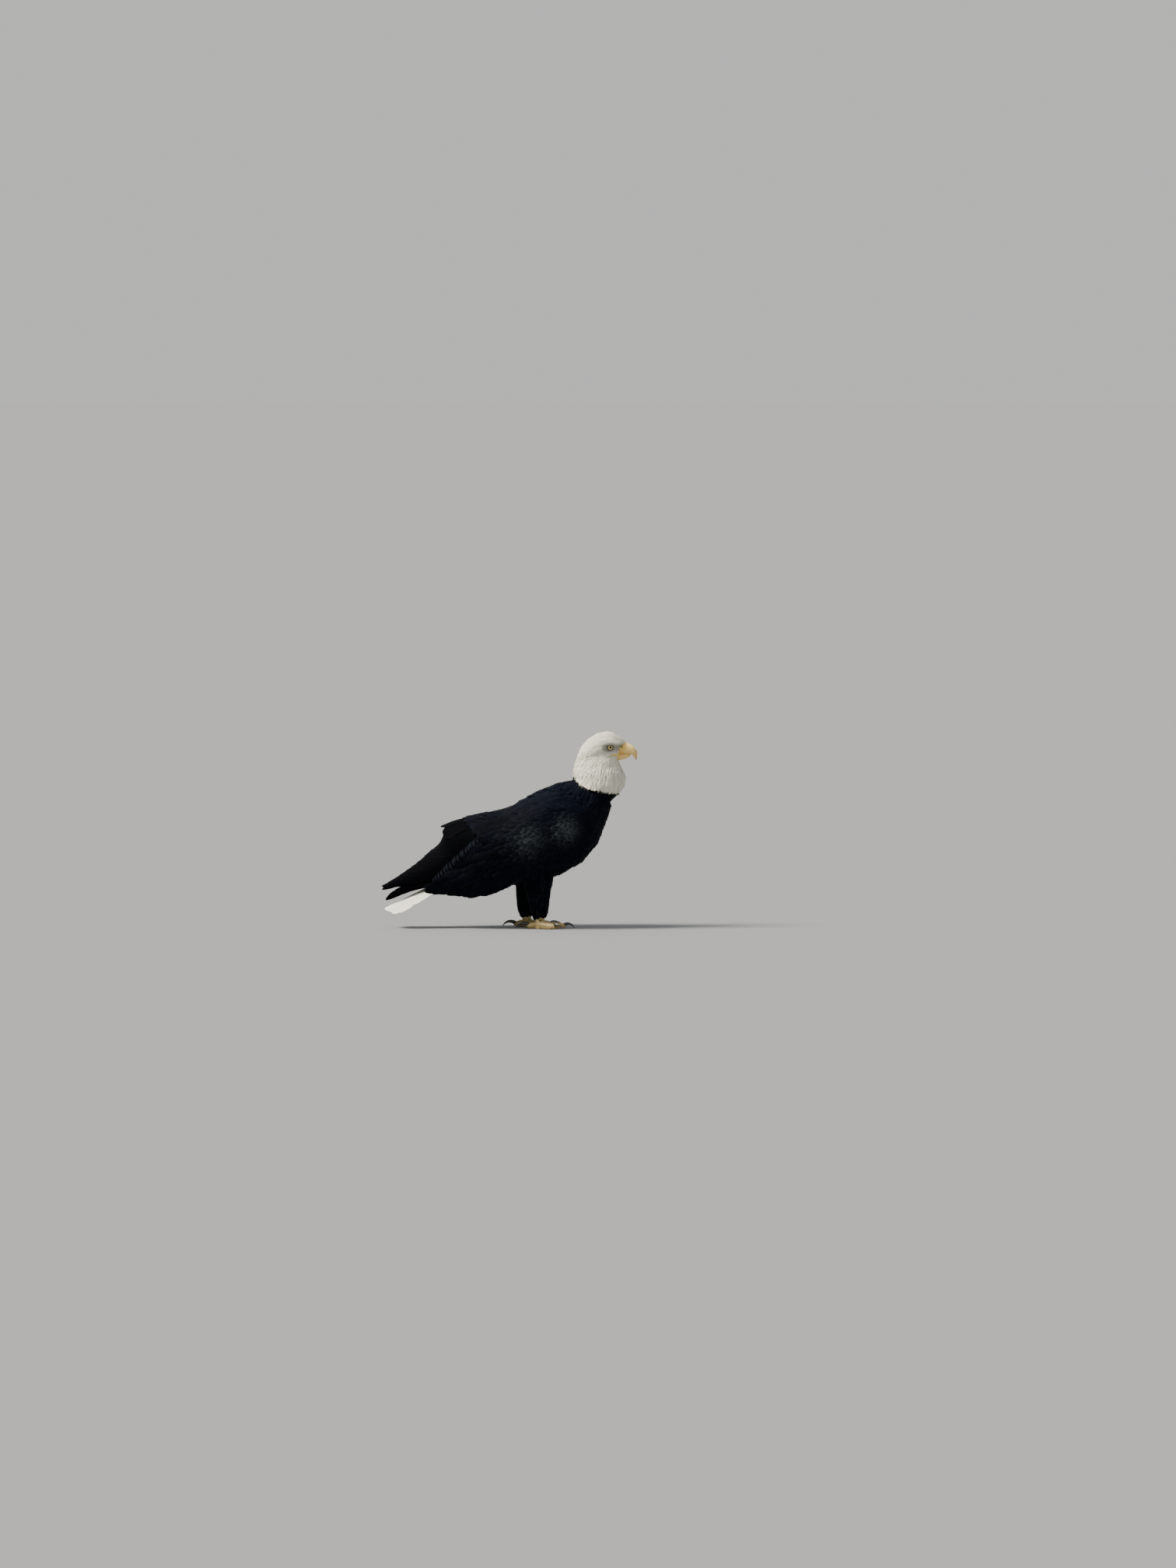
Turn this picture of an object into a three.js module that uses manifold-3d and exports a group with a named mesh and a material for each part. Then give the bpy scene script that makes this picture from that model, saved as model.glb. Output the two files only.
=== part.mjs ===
// A life-size adult bald eagle, standing on level ground with its wings folded, as a still model.
// Millimetres, +X is forward (the bill), +Y is the bird's left, +Z is up. The ground is at Z = 0 and
// the part's origin is there, under the middle of its bounding box.
//
// The flesh is modelled whole, out to the tips of the small feathers, and parted with thin cuts. The
// folded wing is a shell, cut in side view by feather outlines. What is alike left and right is made
// once, as the right one, and its twin hangs in a mirrored group.
import * as THREE from "three";
import { mergeVertices } from "three/addons/utils/BufferGeometryUtils.js";
import Module from "manifold-3d";

const wasm = await Module();
wasm.setup();

// Driving dimensions
const GAP = 0.3; // between neighbouring pieces
const CUT = 0.35; // a piece is cut by its neighbour grown by this much
const EYE_RADIUS = 10.5;
const EYE_AT = { x: 278, y: 28.5, z: 498 };
const CERE_FRONT = 320; // where the soft cere meets the horn of the bill
const CERE_RISE = 0.9; // how far the cere stands proud of the horn
const MOUTH_BACK = 294; // the bill's roots end here, inside the head
const WING_SHELL = 12; // thickness of the folded wing where coverts lie over the quills
const QUILL_DEPTH = 2; // the secondaries lie this far under the coverts, the primaries twice as far
const QUILL_LAYER = 5; // thickness of a layer of flight feathers
const WING_REACH = 150; // sideways reach of the tools that cut the wing, past its surface
// Where the body is parted: a point on each cut, and how far the cut leans forward from level.
const COLLAR = { at: [240, 388], lean: 21 };
const THROAT = { at: [250, 450], lean: 3 };
const RUMP = { at: [-120, 158], lean: 65 };
const TAIL = { length: 276, feathers: 12, width: 38, slope: 26.5, arch: 86, layer: 6 };
const TAIL_ROOT = { x: -95, z: 177 };
const STANCE = 54; // half the distance between the feet
const STRIDE = { right: 87, left: 50 }; // how far forward each foot stands
const HIP_X = 78;
const PAD_HEIGHT = 10; // middle of the foot's pad above the ground
const TOE_HEIGHT = 8; // middle of a toe above the ground
// Heading is turned inwards from straight ahead, offset is where a toe springs from, inwards, and claw
// gives the claw's chord and its radius at the base.
const TOES = [
  { name: "middle", heading: 2, offset: 0, length: 68, radius: 8.8, joints: 3, claw: [31, 5.4] },
  { name: "inner", heading: 34, offset: 8.5, length: 47, radius: 9, joints: 2, claw: [35, 6] },
  { name: "outer", heading: -36, offset: -8.5, length: 50, radius: 8, joints: 3, claw: [27, 5] },
  { name: "hind", heading: 174, offset: 3, length: 36, radius: 9.2, joints: 1, claw: [38, 6.4] },
];

const MATERIALS = {
  darkPlumage: new THREE.MeshStandardMaterial({ color: 0x1b1714, roughness: 0.75 }),
  quill: new THREE.MeshStandardMaterial({ color: 0x171412, roughness: 0.6 }),
  whitePlumage: new THREE.MeshStandardMaterial({ color: 0xe6e4da, roughness: 0.85 }),
  horn: new THREE.MeshStandardMaterial({ color: 0xe0a43a, roughness: 0.35 }),
  cere: new THREE.MeshStandardMaterial({ color: 0xe3b23c, roughness: 0.5 }),
  footSkin: new THREE.MeshStandardMaterial({ color: 0xd9a52c, roughness: 0.6 }),
  claw: new THREE.MeshStandardMaterial({ color: 0x14110f, roughness: 0.3 }),
  eye: new THREE.MeshStandardMaterial({ color: 0xe4cf84, roughness: 0.1 }),
};

const radians = THREE.MathUtils.degToRad;

// Shapes

function smoothThrough(rows) {
  return new THREE.CatmullRomCurve3(rows.map((row) => new THREE.Vector3(...row)), false, "catmullrom", 0.5);
}

// A closed tube swept through stations that run from the head end to the tail end, or downwards. At each,
// x and z (and y) place the centre, wide is the half width, and back and front are the depths on the
// dorsal and ventral side, square to the line of centres. A power over 2 makes the section boxier.
function loft(stations, { sides = 24, rings = 16, grow = 0, power = 2 } = {}) {
  const centres = smoothThrough(stations.map((s) => [s.x, s.y ?? 0, s.z]));
  const girths = smoothThrough(stations.map((s) => [s.wide, s.back, s.front]));
  const shape = new THREE.CylinderGeometry(1, 1, 1, sides, rings);
  const at = shape.getAttribute("position");
  const side = new THREE.Vector3(0, 1, 0);
  for (let i = 0; i < at.count; i++) {
    const t = 0.5 - at.getY(i);
    const out = Math.hypot(at.getX(i), at.getZ(i));
    const angle = Math.atan2(-at.getZ(i), at.getX(i));
    const along = centres.getTangent(t);
    const girth = girths.getPoint(t);
    const across = side.clone().addScaledVector(along, -along.y).normalize();
    const dorsal = across.clone().cross(along);
    const round = (value) => Math.sign(value) * Math.abs(value) ** (2 / power);
    const depth = (Math.sin(angle) > 0 ? girth.y : girth.z) + grow;
    const point = centres.getPoint(t);
    if (t < 1e-6) point.addScaledVector(along, -grow);
    if (t > 1 - 1e-6) point.addScaledVector(along, grow);
    point.addScaledVector(across, out * (girth.x + grow) * round(Math.cos(angle)));
    point.addScaledVector(dorsal, out * depth * round(Math.sin(angle)));
    at.setXYZ(i, point.x, point.y, point.z);
  }
  return shape;
}

// The outline of one feather, from root to tip: nearly parallel edges, a narrow root and a round tip.
function featherOutline(root, tip, width, sag = 0) {
  const steps = 5;
  const [from, to] = [new THREE.Vector2(...root), new THREE.Vector2(...tip)];
  const across = to.clone().sub(from).normalize().rotateAround(new THREE.Vector2(), Math.PI / 2);
  const edge = (t, sign) => {
    const bend = sag * 4 * t * (1 - t);
    const half = (width / 2) * Math.min(1, 0.45 + t) * Math.sqrt(1 - Math.max(0, (t - 0.72) / 0.28) ** 2.2);
    return from.clone().lerp(to, t).addScaledVector(across, bend + sign * half);
  };
  const stops = Array.from({ length: steps + 1 }, (_, i) => Math.sin((i / steps) * Math.PI * 0.5));
  const upper = stops.map((t) => edge(t, 1));
  const lower = stops.slice(0, -1).map((t) => edge(t, -1)).reverse();
  return new THREE.Shape([...upper, ...lower]);
}

// A side-view outline in X and Z, made solid from the midline out over the bird's right side.
function sidePrism(outline) {
  const settings = { depth: WING_REACH, bevelEnabled: false, curveSegments: 3 };
  const shape = new THREE.ExtrudeGeometry(outline, settings);
  return shape.rotateX(Math.PI / 2).translate(0, -GAP / 2, 0);
}

// Joining and cutting

function toSolid(geometry) {
  const bare = geometry.index ? geometry.toNonIndexed() : geometry.clone();
  bare.deleteAttribute("normal");
  bare.deleteAttribute("uv");
  const { attributes, index } = mergeVertices(bare, 1e-4);
  const mesh = { numProp: 3, vertProperties: attributes.position.array, triVerts: index.array };
  return new wasm.Manifold(new wasm.Mesh(mesh));
}

function toGeometry(solid) {
  const mesh = solid.getMesh();
  const geometry = new THREE.BufferGeometry();
  geometry.setAttribute("position", new THREE.BufferAttribute(mesh.vertProperties, 3));
  geometry.setIndex(new THREE.BufferAttribute(mesh.triVerts, 1));
  return geometry;
}

const join = (...solids) => solids.reduce((whole, piece) => whole.add(piece));
const cutBy = (solid, ...tools) => tools.reduce((rest, tool) => rest.subtract(tool), solid);

// The largest body of a solid: cutting can leave slivers beside it.
function mainBody(solid) {
  return solid.decompose().sort((a, b) => b.volume() - a.volume())[0];
}

// The two sides, upper first, of a plane through [x, z] whose normal leans forward from straight up.
function halves(solid, { at: [x, z], lean }) {
  const normal = [Math.sin(radians(lean)), 0, Math.cos(radians(lean))];
  const offset = normal[0] * x + normal[2] * z;
  const above = solid.trimByPlane(normal, offset + GAP / 2);
  const below = solid.trimByPlane(normal.map((n) => -n), -offset + GAP / 2);
  return [above, below];
}

// Trunk, neck and head

const trunkStations = [
  { x: 264, z: 366, wide: 48, back: 42, front: 36 },
  { x: 224, z: 338, wide: 80, back: 90, front: 71 },
  { x: 166, z: 298, wide: 97, back: 109, front: 115 },
  { x: 100, z: 258, wide: 101, back: 116, front: 120 },
  { x: 35, z: 222, wide: 97, back: 110, front: 109 },
  { x: -35, z: 190, wide: 83, back: 100, front: 80 },
  { x: -105, z: 163, wide: 62, back: 80, front: 52 },
  { x: -165, z: 143, wide: 42, back: 48, front: 34 },
  { x: -205, z: 128, wide: 30, back: 20, front: 20 },
];

const neckStations = [
  { x: 264, z: 482, wide: 38, back: 56, front: 36 },
  { x: 257, z: 455, wide: 49, back: 72, front: 56 },
  { x: 252, z: 428, wide: 57, back: 75, front: 71 },
  { x: 250, z: 404, wide: 61, back: 72, front: 73 },
  { x: 247, z: 382, wide: 61, back: 62, front: 60 },
  { x: 240, z: 358, wide: 52, back: 48, front: 40 },
];

const headStations = [
  { x: 321, z: 514, wide: 7, back: 5, front: 5 },
  { x: 313, z: 510, wide: 16, back: 21, front: 14 },
  { x: 303, z: 506, wide: 24, back: 31, front: 28 },
  { x: 290, z: 503, wide: 32, back: 38, front: 39 },
  { x: 268, z: 498, wide: 40, back: 44, front: 46 },
  { x: 243, z: 489, wide: 45, back: 41, front: 47 },
  { x: 219, z: 475, wide: 41, back: 32, front: 42 },
  { x: 201, z: 461, wide: 29, back: 19, front: 28 },
];

const browStations = (side) => [
  { x: 307, y: side * 20, z: 511, wide: 2, back: 2, front: 2 },
  { x: 293, y: side * 29, z: 512, wide: 6, back: 4, front: 4 },
  { x: 277, y: side * 34, z: 511, wide: 6, back: 4, front: 4 },
  { x: 260, y: side * 40, z: 507, wide: 3, back: 2, front: 2 },
];

// Bill, from the hooked tip back into the face

const billStations = [
  { x: 351.5, z: 461.5, wide: 0.8, back: 0.8, front: 0.8 },
  { x: 350, z: 470, wide: 4, back: 4.8, front: 4 },
  { x: 344.5, z: 482, wide: 7.5, back: 10.5, front: 8 },
  { x: 333, z: 490.5, wide: 10, back: 14.5, front: 12.5 },
  { x: 319, z: 494, wide: 11.5, back: 16.5, front: 15.5 },
  { x: 305, z: 495, wide: 12.5, back: 17.5, front: 16.5 },
  { x: 290, z: 495, wide: 12.5, back: 16, front: 16 },
];

const lowerBillStations = [
  { x: 336, z: 475, wide: 2, back: 2.5, front: 2 },
  { x: 330, z: 474, wide: 6, back: 6, front: 6 },
  { x: 317, z: 472, wide: 9.5, back: 9, front: 8.5 },
  { x: 301, z: 471.5, wide: 12, back: 9, front: 9 },
  { x: 284, z: 473, wide: 12.5, back: 8, front: 8 },
];

function eyeball(side, grow = 0) {
  const ball = new THREE.SphereGeometry(EYE_RADIUS + grow, 12, 8).rotateX(Math.PI / 2);
  return toSolid(ball.translate(EYE_AT.x, side * EYE_AT.y, EYE_AT.z));
}

function makeHeadParts() {
  const bill = (grow = 0) => toSolid(loft(billStations, { sides: 12, rings: 9, grow, power: 2.2 }));
  const lower = (grow = 0) => toSolid(loft(lowerBillStations, { sides: 10, rings: 5, grow, power: 2.2 }));
  const brow = (side) => toSolid(loft(browStations(side), { sides: 6, rings: 4 }));
  const cereEdge = { at: [CERE_FRONT, 495], lean: -78 };
  const backOfMouth = toSolid(new THREE.BoxGeometry(60, 80, 80).translate(MOUTH_BACK - 30, 0, 490));
  const skull = toSolid(loft(headStations, { sides: 16, rings: 8 }));
  return {
    face: join(skull, brow(1), brow(-1)),
    hollows: [bill(CERE_RISE + CUT), lower(CUT), eyeball(1, CUT), eyeball(-1, CUT)],
    upperBill: halves(bill(), cereEdge)[1],
    cere: mainBody(cutBy(halves(bill(CERE_RISE), cereEdge)[0], backOfMouth)),
    lowerBill: mainBody(cutBy(lower(), bill(CERE_RISE + CUT), backOfMouth)),
  };
}

// Folded wing

const foldedStations = [
  { x: 252, z: 352, wide: 66, back: 60, front: 80 },
  { x: 205, z: 328, wide: 95, back: 106, front: 120 },
  { x: 150, z: 292, wide: 110, back: 120, front: 160 },
  { x: 90, z: 255, wide: 115, back: 125, front: 170 },
  { x: 30, z: 222, wide: 112, back: 127, front: 165 },
  { x: -40, z: 190, wide: 105, back: 135, front: 150 },
  { x: -105, z: 167, wide: 92, back: 137, front: 118 },
  { x: -145, z: 155, wide: 82, back: 134, front: 98 },
  { x: -168, z: 149, wide: 76, back: 92, front: 86 },
  { x: -205, z: 138, wide: 65, back: 77, front: 72 },
  { x: -255, z: 124, wide: 50, back: 56, front: 60 },
  { x: -320, z: 106, wide: 36, back: 36, front: 50 },
  { x: -366, z: 96, wide: 28, back: 26, front: 44 },
];

// The outline of the coverts: along the shoulder and back, and down the flank's lower edge.
function covertOutline() {
  const points = (rows) => rows.map((row) => new THREE.Vector2(...row));
  const shape = new THREE.Shape();
  shape.moveTo(246, 250);
  shape.splineThru(points([[247, 285], [226, 322], [180, 362], [120, 378]]));
  shape.splineThru(points([[60, 352], [0, 330], [-60, 317]]));
  shape.lineTo(-92, 262);
  shape.lineTo(-198, 140);
  shape.lineTo(-188, 107);
  shape.splineThru(points([[-110, 94], [-68, 88], [-20, 103], [60, 142], [150, 178], [222, 212]]));
  shape.closePath();
  return shape;
}

// Rows of feathers: where their tips run from and to, and the place that they fan out from.
const TERTIALS = { count: 3, first: [-192, 292], last: [-196, 262], root: [0, 300], width: 36, sag: -6 };
const SECONDARIES = { count: 7, first: [-196, 252], last: [-234, 206], root: [20, 240], width: 40, sag: -4 };
const PRIMARIES = { count: 7, first: [-246, 198], last: [-354, 119], root: [60, 190], width: 38, sag: 0 };
const OUTERMOST = { count: 2, first: [-350, 106], last: [-337, 75], root: [-110, 116], width: 23, sag: -24 };
const GREATER_COVERTS = { count: 9, first: [-96, 262], last: [-206, 132], length: 92, width: 30 };

const tipOf = ({ count, first, last }, i) => [0, 1].map(
  (axis) => THREE.MathUtils.lerp(first[axis], last[axis], i / (count - 1)),
);

function fan(row) {
  return Array.from({ length: row.count }, (_, i) => (
    featherOutline(row.root, tipOf(row, i), row.width, row.sag)
  ));
}

function greaterCoverts() {
  const { count, length, width } = GREATER_COVERTS;
  return Array.from({ length: count }, (_, i) => {
    const tip = tipOf(GREATER_COVERTS, i);
    const root = [tip[0] + length * 0.97, tip[1] + length * (0.1 + 0.035 * i)];
    return featherOutline(root, tip, width);
  });
}

function makeWingParts() {
  const folded = (depth, sides = 20, rings = 12) => toSolid(
    loft(foldedStations, { sides, rings, grow: -depth, power: 2.2 }),
  );
  const layer = (depth, thickness) => folded(depth).subtract(folded(depth + thickness));
  const prisms = (outlines) => join(...outlines.map((outline) => toSolid(sidePrism(outline))));
  const covertTool = join(toSolid(sidePrism(covertOutline())), prisms(greaterCoverts()));
  const shifted = (up) => covertTool.translate([-0.45, 0, up]);
  const behindCoverts = join(covertTool, shifted(GAP), shifted(-GAP));
  const innerFeathers = prisms([...fan(TERTIALS), ...fan(SECONDARIES)]);
  const outerFeathers = prisms([...fan(PRIMARIES), ...fan(OUTERMOST)]);
  const visible = (shell, feathers) => shell.intersect(feathers).subtract(behindCoverts);
  return {
    coverts: folded(0).subtract(folded(WING_SHELL, 12, 6)).intersect(covertTool),
    secondaries: visible(layer(QUILL_DEPTH, QUILL_LAYER), innerFeathers),
    primaries: visible(layer(2 * QUILL_DEPTH + QUILL_LAYER, QUILL_LAYER - 1), outerFeathers),
  };
}

// Tail, made level and pointing back from its root, then sloped

function makeTail(neighbours) {
  const root = (share) => [0, share * 13];
  const tip = (share) => [-TAIL.length * (1 - 0.05 * share ** 2), share * 50];
  const feathers = Array.from({ length: TAIL.feathers }, (_, i) => {
    const share = (2 * i) / (TAIL.feathers - 1) - 1;
    const outline = featherOutline(root(share), tip(share), TAIL.width);
    const prism = new THREE.ExtrudeGeometry(outline, { depth: 120, bevelEnabled: false });
    return toSolid(prism.translate(0, 0, -80));
  });
  const band = new THREE.Shape();
  band.absarc(0, -TAIL.arch, TAIL.arch, radians(20), radians(160), false);
  band.absarc(0, -TAIL.arch, TAIL.arch - TAIL.layer, radians(160), radians(20), true);
  const arch = new THREE.ExtrudeGeometry(band, { depth: 320, bevelEnabled: false, curveSegments: 8 });
  arch.rotateX(Math.PI / 2).rotateZ(-Math.PI / 2).translate(10, 0, 0);
  const level = toGeometry(toSolid(arch).intersect(join(...feathers)));
  const sloped = toSolid(level.rotateY(radians(-TAIL.slope)).translate(TAIL_ROOT.x, 0, TAIL_ROOT.z));
  return mainBody(cutBy(sloped, ...neighbours));
}

// Legs, each with its hip inside the body and its foot at footX on the right side

const thighStations = (footX) => {
  const at = (share) => THREE.MathUtils.lerp(HIP_X, footX, share);
  return [
    { x: at(0), y: -46, z: 200, wide: 36, back: 50, front: 50 },
    { x: at(0.4), y: -55, z: 152, wide: 35, back: 50, front: 48 },
    { x: at(0.75), y: -56, z: 112, wide: 32, back: 43, front: 34 },
    { x: at(0.95), y: -55, z: 78, wide: 26, back: 31, front: 27 },
    { x: at(1), y: -STANCE, z: 50, wide: 18, back: 20, front: 20 },
    { x: at(1), y: -STANCE, z: 33, wide: 12, back: 12, front: 14 },
  ];
};

const tarsusStations = (footX) => [
  { x: footX + 1, y: -STANCE, z: 80, wide: 8.5, back: 9.5, front: 9 },
  { x: footX + 1, y: -STANCE, z: 50, wide: 8.5, back: 9.5, front: 9 },
  { x: footX, y: -STANCE, z: 27, wide: 10, back: 10.5, front: 10.5 },
  { x: footX, y: -STANCE, z: PAD_HEIGHT + 4, wide: 14.5, back: 13, front: 14 },
  { x: footX, y: -STANCE, z: -2, wide: 14, back: 13, front: 13 },
];

// A toe from its claw end back to the pad, pointing forward along X.
function toeStations({ length, radius, joints }) {
  const count = 2 * joints + 1;
  return Array.from({ length: count }, (_, i) => {
    const t = 1 - i / (count - 1);
    const z = THREE.MathUtils.lerp(TOE_HEIGHT + 4, TOE_HEIGHT, t);
    const swell = i % 2 === 0 ? 0.93 : 1.07;
    const wide = radius * THREE.MathUtils.lerp(1, 0.8, t) * swell;
    return { x: t * length, z, wide, back: wide * 0.95, front: z + 1 };
  });
}

// A claw from its point back into the toe: an arc that comes down to just above the ground.
function clawStations({ length, claw: [chord, radius] }) {
  const [height, clearance, rise] = [TOE_HEIGHT + 1.5, 0.8, radians(40)];
  const bend = chord / 1.62;
  const fall = -Math.acos(Math.cos(rise) - (height - clearance) / bend);
  const count = 6;
  return Array.from({ length: count }, (_, i) => {
    const t = i / (count - 1);
    const angle = THREE.MathUtils.lerp(fall, rise, t);
    const thick = radius * Math.max(0.08, t ** 0.75);
    return {
      x: length - 4 + bend * (Math.sin(rise) - Math.sin(angle)),
      z: height + bend * (Math.cos(angle) - Math.cos(rise)),
      wide: thick * 0.82,
      back: thick,
      front: thick,
    };
  });
}

function makeLeg(footX, neighbours) {
  const ground = toSolid(new THREE.BoxGeometry(900, 900, 100).translate(0, 0, -50));
  const thigh = (grow = 0) => toSolid(loft(thighStations(footX), { sides: 14, rings: 7, grow }));
  const tarsus = (grow = 0) => toSolid(loft(tarsusStations(footX), { sides: 10, rings: 5, grow }));
  const turned = (toe, geometry) => toSolid(
    geometry.rotateZ(radians(toe.heading)).translate(footX, toe.offset - STANCE, 0),
  );
  const digit = (toe, grow = 0) => turned(
    toe,
    loft(toeStations(toe), { sides: 8, rings: 2 * toe.joints, grow }),
  );
  const middle = TOES[0];
  const toes = TOES.map((toe) => {
    const besides = toe === middle ? [] : [digit(middle, CUT)];
    return mainBody(cutBy(digit(toe), tarsus(CUT), ground, ...besides));
  });
  const claws = TOES.map((toe) => {
    const claw = turned(toe, loft(clawStations(toe), { sides: 7, rings: 5 }));
    return mainBody(cutBy(claw, digit(toe, CUT), ground));
  });
  return {
    thigh,
    toes,
    claws,
    trousers: mainBody(cutBy(thigh(), ...neighbours)),
    tarsus: mainBody(cutBy(tarsus(), thigh(CUT), ground)),
  };
}

// Assembly

const eagle = new THREE.Group();
const mirrored = new THREE.Group();
mirrored.scale.y = -1;
eagle.add(mirrored);

function place(name, solid, material, group = eagle) {
  const mesh = new THREE.Mesh(toGeometry(solid), MATERIALS[material]);
  mesh.name = name;
  group.add(mesh);
}

const trunk = (grow = 0) => toSolid(loft(trunkStations, { sides: 20, rings: 10, grow, power: 2.15 }));
const neck = (grow = 0) => toSolid(loft(neckStations, { sides: 16, rings: 6, grow }));
const headParts = makeHeadParts();
const flesh = cutBy(join(trunk(), neck(), headParts.face), ...headParts.hollows);
const [aboveCollar, body] = halves(flesh, COLLAR);
const [headPiece, neckPiece] = halves(aboveCollar, THROAT);
const [trunkPiece, rumpPiece] = halves(body, RUMP);
place("head", mainBody(headPiece), "whitePlumage");
place("neck", mainBody(neckPiece), "whitePlumage");
place("trunk", mainBody(trunkPiece), "darkPlumage");
place("tail_coverts", mainBody(rumpPiece), "whitePlumage");
place("tail", makeTail([trunk(CUT)]), "whitePlumage");
place("upper_bill", headParts.upperBill, "horn");
place("cere", headParts.cere, "cere");
place("lower_bill", headParts.lowerBill, "horn");
place("eye_right", eyeball(-1), "eye");
place("eye_left", eyeball(-1), "eye", mirrored);

// The facets of the two flanks aren't mirror images, so paired pieces are cut by both flanks.
const bothFlanks = (solid) => join(solid, solid.mirror([0, 1, 0]));
const wing = makeWingParts();
const underWing = bothFlanks(join(trunk(2 * CUT), neck(2 * CUT)));
for (const [side, group] of [["right", eagle], ["left", mirrored]]) {
  const leg = makeLeg(STRIDE[side], [bothFlanks(trunk(CUT))]);
  place(`thigh_${side}`, leg.trousers, "darkPlumage", group);
  place(`tarsus_${side}`, leg.tarsus, "footSkin", group);
  TOES.forEach((toe, i) => {
    place(`toe_${toe.name}_${side}`, leg.toes[i], "footSkin", group);
    place(`claw_${toe.name}_${side}`, leg.claws[i], "claw", group);
  });
  const clear = (solid) => mainBody(cutBy(solid, underWing, leg.thigh(CUT)));
  place(`wing_coverts_${side}`, clear(wing.coverts), "darkPlumage", group);
  place(`secondaries_${side}`, clear(wing.secondaries), "quill", group);
  place(`primaries_${side}`, clear(wing.primaries), "quill", group);
}

const extent = new THREE.Box3().setFromObject(eagle, true);
eagle.position.x = -(extent.min.x + extent.max.x) / 2;

export default eagle;
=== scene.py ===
# A life-size adult bald eagle, standing with folded wings: skin, plumage, bill, eyes and feet.
# Metres, +X is forward, +Y is the bird's left, +Z is up. Shape tables are in millimetres.
import itertools
import math

import bmesh
import bpy
import numpy as np
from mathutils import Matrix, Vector
from mathutils.bvhtree import BVHTree


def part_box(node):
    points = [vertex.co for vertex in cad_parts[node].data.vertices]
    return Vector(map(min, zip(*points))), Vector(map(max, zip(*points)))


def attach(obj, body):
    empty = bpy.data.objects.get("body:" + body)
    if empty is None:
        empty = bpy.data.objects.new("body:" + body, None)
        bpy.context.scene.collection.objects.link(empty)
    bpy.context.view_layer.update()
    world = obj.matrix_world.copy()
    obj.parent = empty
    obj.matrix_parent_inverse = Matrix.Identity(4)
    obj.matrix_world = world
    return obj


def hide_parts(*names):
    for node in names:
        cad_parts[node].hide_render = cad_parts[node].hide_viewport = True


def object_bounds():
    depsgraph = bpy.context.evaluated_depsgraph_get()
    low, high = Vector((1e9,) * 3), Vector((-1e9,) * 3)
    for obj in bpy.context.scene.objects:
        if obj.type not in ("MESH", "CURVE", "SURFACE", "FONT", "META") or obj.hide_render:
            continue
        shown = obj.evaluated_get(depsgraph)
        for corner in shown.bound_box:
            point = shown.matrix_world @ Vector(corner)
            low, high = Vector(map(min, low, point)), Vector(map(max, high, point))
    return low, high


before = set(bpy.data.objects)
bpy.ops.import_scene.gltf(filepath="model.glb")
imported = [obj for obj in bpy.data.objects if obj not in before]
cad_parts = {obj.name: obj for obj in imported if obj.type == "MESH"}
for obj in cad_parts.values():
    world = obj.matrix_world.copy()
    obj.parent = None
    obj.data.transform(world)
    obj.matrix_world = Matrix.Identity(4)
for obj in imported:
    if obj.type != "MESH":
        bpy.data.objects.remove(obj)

cad_box = [list(corner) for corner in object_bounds()]
MM = 0.001
SIDES = {"right": -1, "left": 1}
rng = np.random.default_rng(7)


# ---------------------------------------------------------------- handling pieces

def rest_selection():
    if bpy.context.object and bpy.context.object.mode != "OBJECT":
        bpy.ops.object.mode_set(mode="OBJECT")
    bpy.ops.object.select_all(action="DESELECT")


def take(piece):
    rest_selection()
    piece.select_set(True)
    bpy.context.view_layer.objects.active = piece
    return piece


def named(name):
    piece = bpy.context.object
    piece.name = piece.data.name = name
    return piece


def settle(piece):
    take(piece)
    bpy.ops.object.transform_apply(location=True, rotation=True, scale=True)
    return piece


def finish_with(piece, kind, **settings):
    """Adds one modifier and applies it."""
    take(piece)
    modifier = piece.modifiers.new(kind.title(), kind)
    for key, value in settings.items():
        setattr(modifier, key, value)
    bpy.ops.object.modifier_apply(modifier=modifier.name)
    return piece


def in_edit(piece, *steps):
    """Runs edit-mode operators on all of a piece."""
    take(piece)
    bpy.ops.object.mode_set(mode="EDIT")
    bpy.ops.mesh.select_all(action="SELECT")
    for step in steps:
        step()
    bpy.ops.object.mode_set(mode="OBJECT")
    return piece


def merge_doubles():
    bpy.ops.mesh.remove_doubles(threshold=1e-6)


def turn_outwards():
    bpy.ops.mesh.normals_make_consistent(inside=False)


def face_outwards(piece):
    return in_edit(piece, merge_doubles, turn_outwards)


def subdivided(piece):
    return finish_with(piece, "SUBSURF", levels=1, render_levels=1)


def reworked(piece, change):
    """Runs one change on a piece's mesh."""
    shape = bmesh.new()
    shape.from_mesh(piece.data)
    change(shape)
    shape.to_mesh(piece.data)
    shape.free()
    return piece


def smooth(piece, degrees=50):
    take(piece)
    bpy.ops.object.shade_smooth_by_angle(angle=math.radians(degrees))
    return piece


def copied(names, name):
    """One piece made of merged copies of solids."""
    copies = []
    for node in names:
        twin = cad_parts[node].copy()
        twin.data = twin.data.copy()
        twin.parent = None
        for key in list(twin.keys()):
            del twin[key]
        twin.hide_render = twin.hide_viewport = False
        bpy.context.scene.collection.objects.link(twin)
        copies.append(in_edit(twin, merge_doubles))
    piece = joined(copies, name)
    piece.data.materials.clear()
    return piece


def joined(pieces, name):
    rest_selection()
    for piece in pieces:
        piece.select_set(True)
    bpy.context.view_layer.objects.active = pieces[0]
    if len(pieces) > 1:
        bpy.ops.object.join()
    return named(name)


def points_of(piece, value="co"):
    flat = np.empty(len(piece.data.vertices) * 3)
    piece.data.vertices.foreach_get(value, flat)
    return flat.reshape(-1, 3)


def normals_of(piece):
    return points_of(piece, "normal")


def move_points(piece, points):
    piece.data.vertices.foreach_set("co", np.asarray(points, float).ravel())
    piece.data.update()


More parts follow.
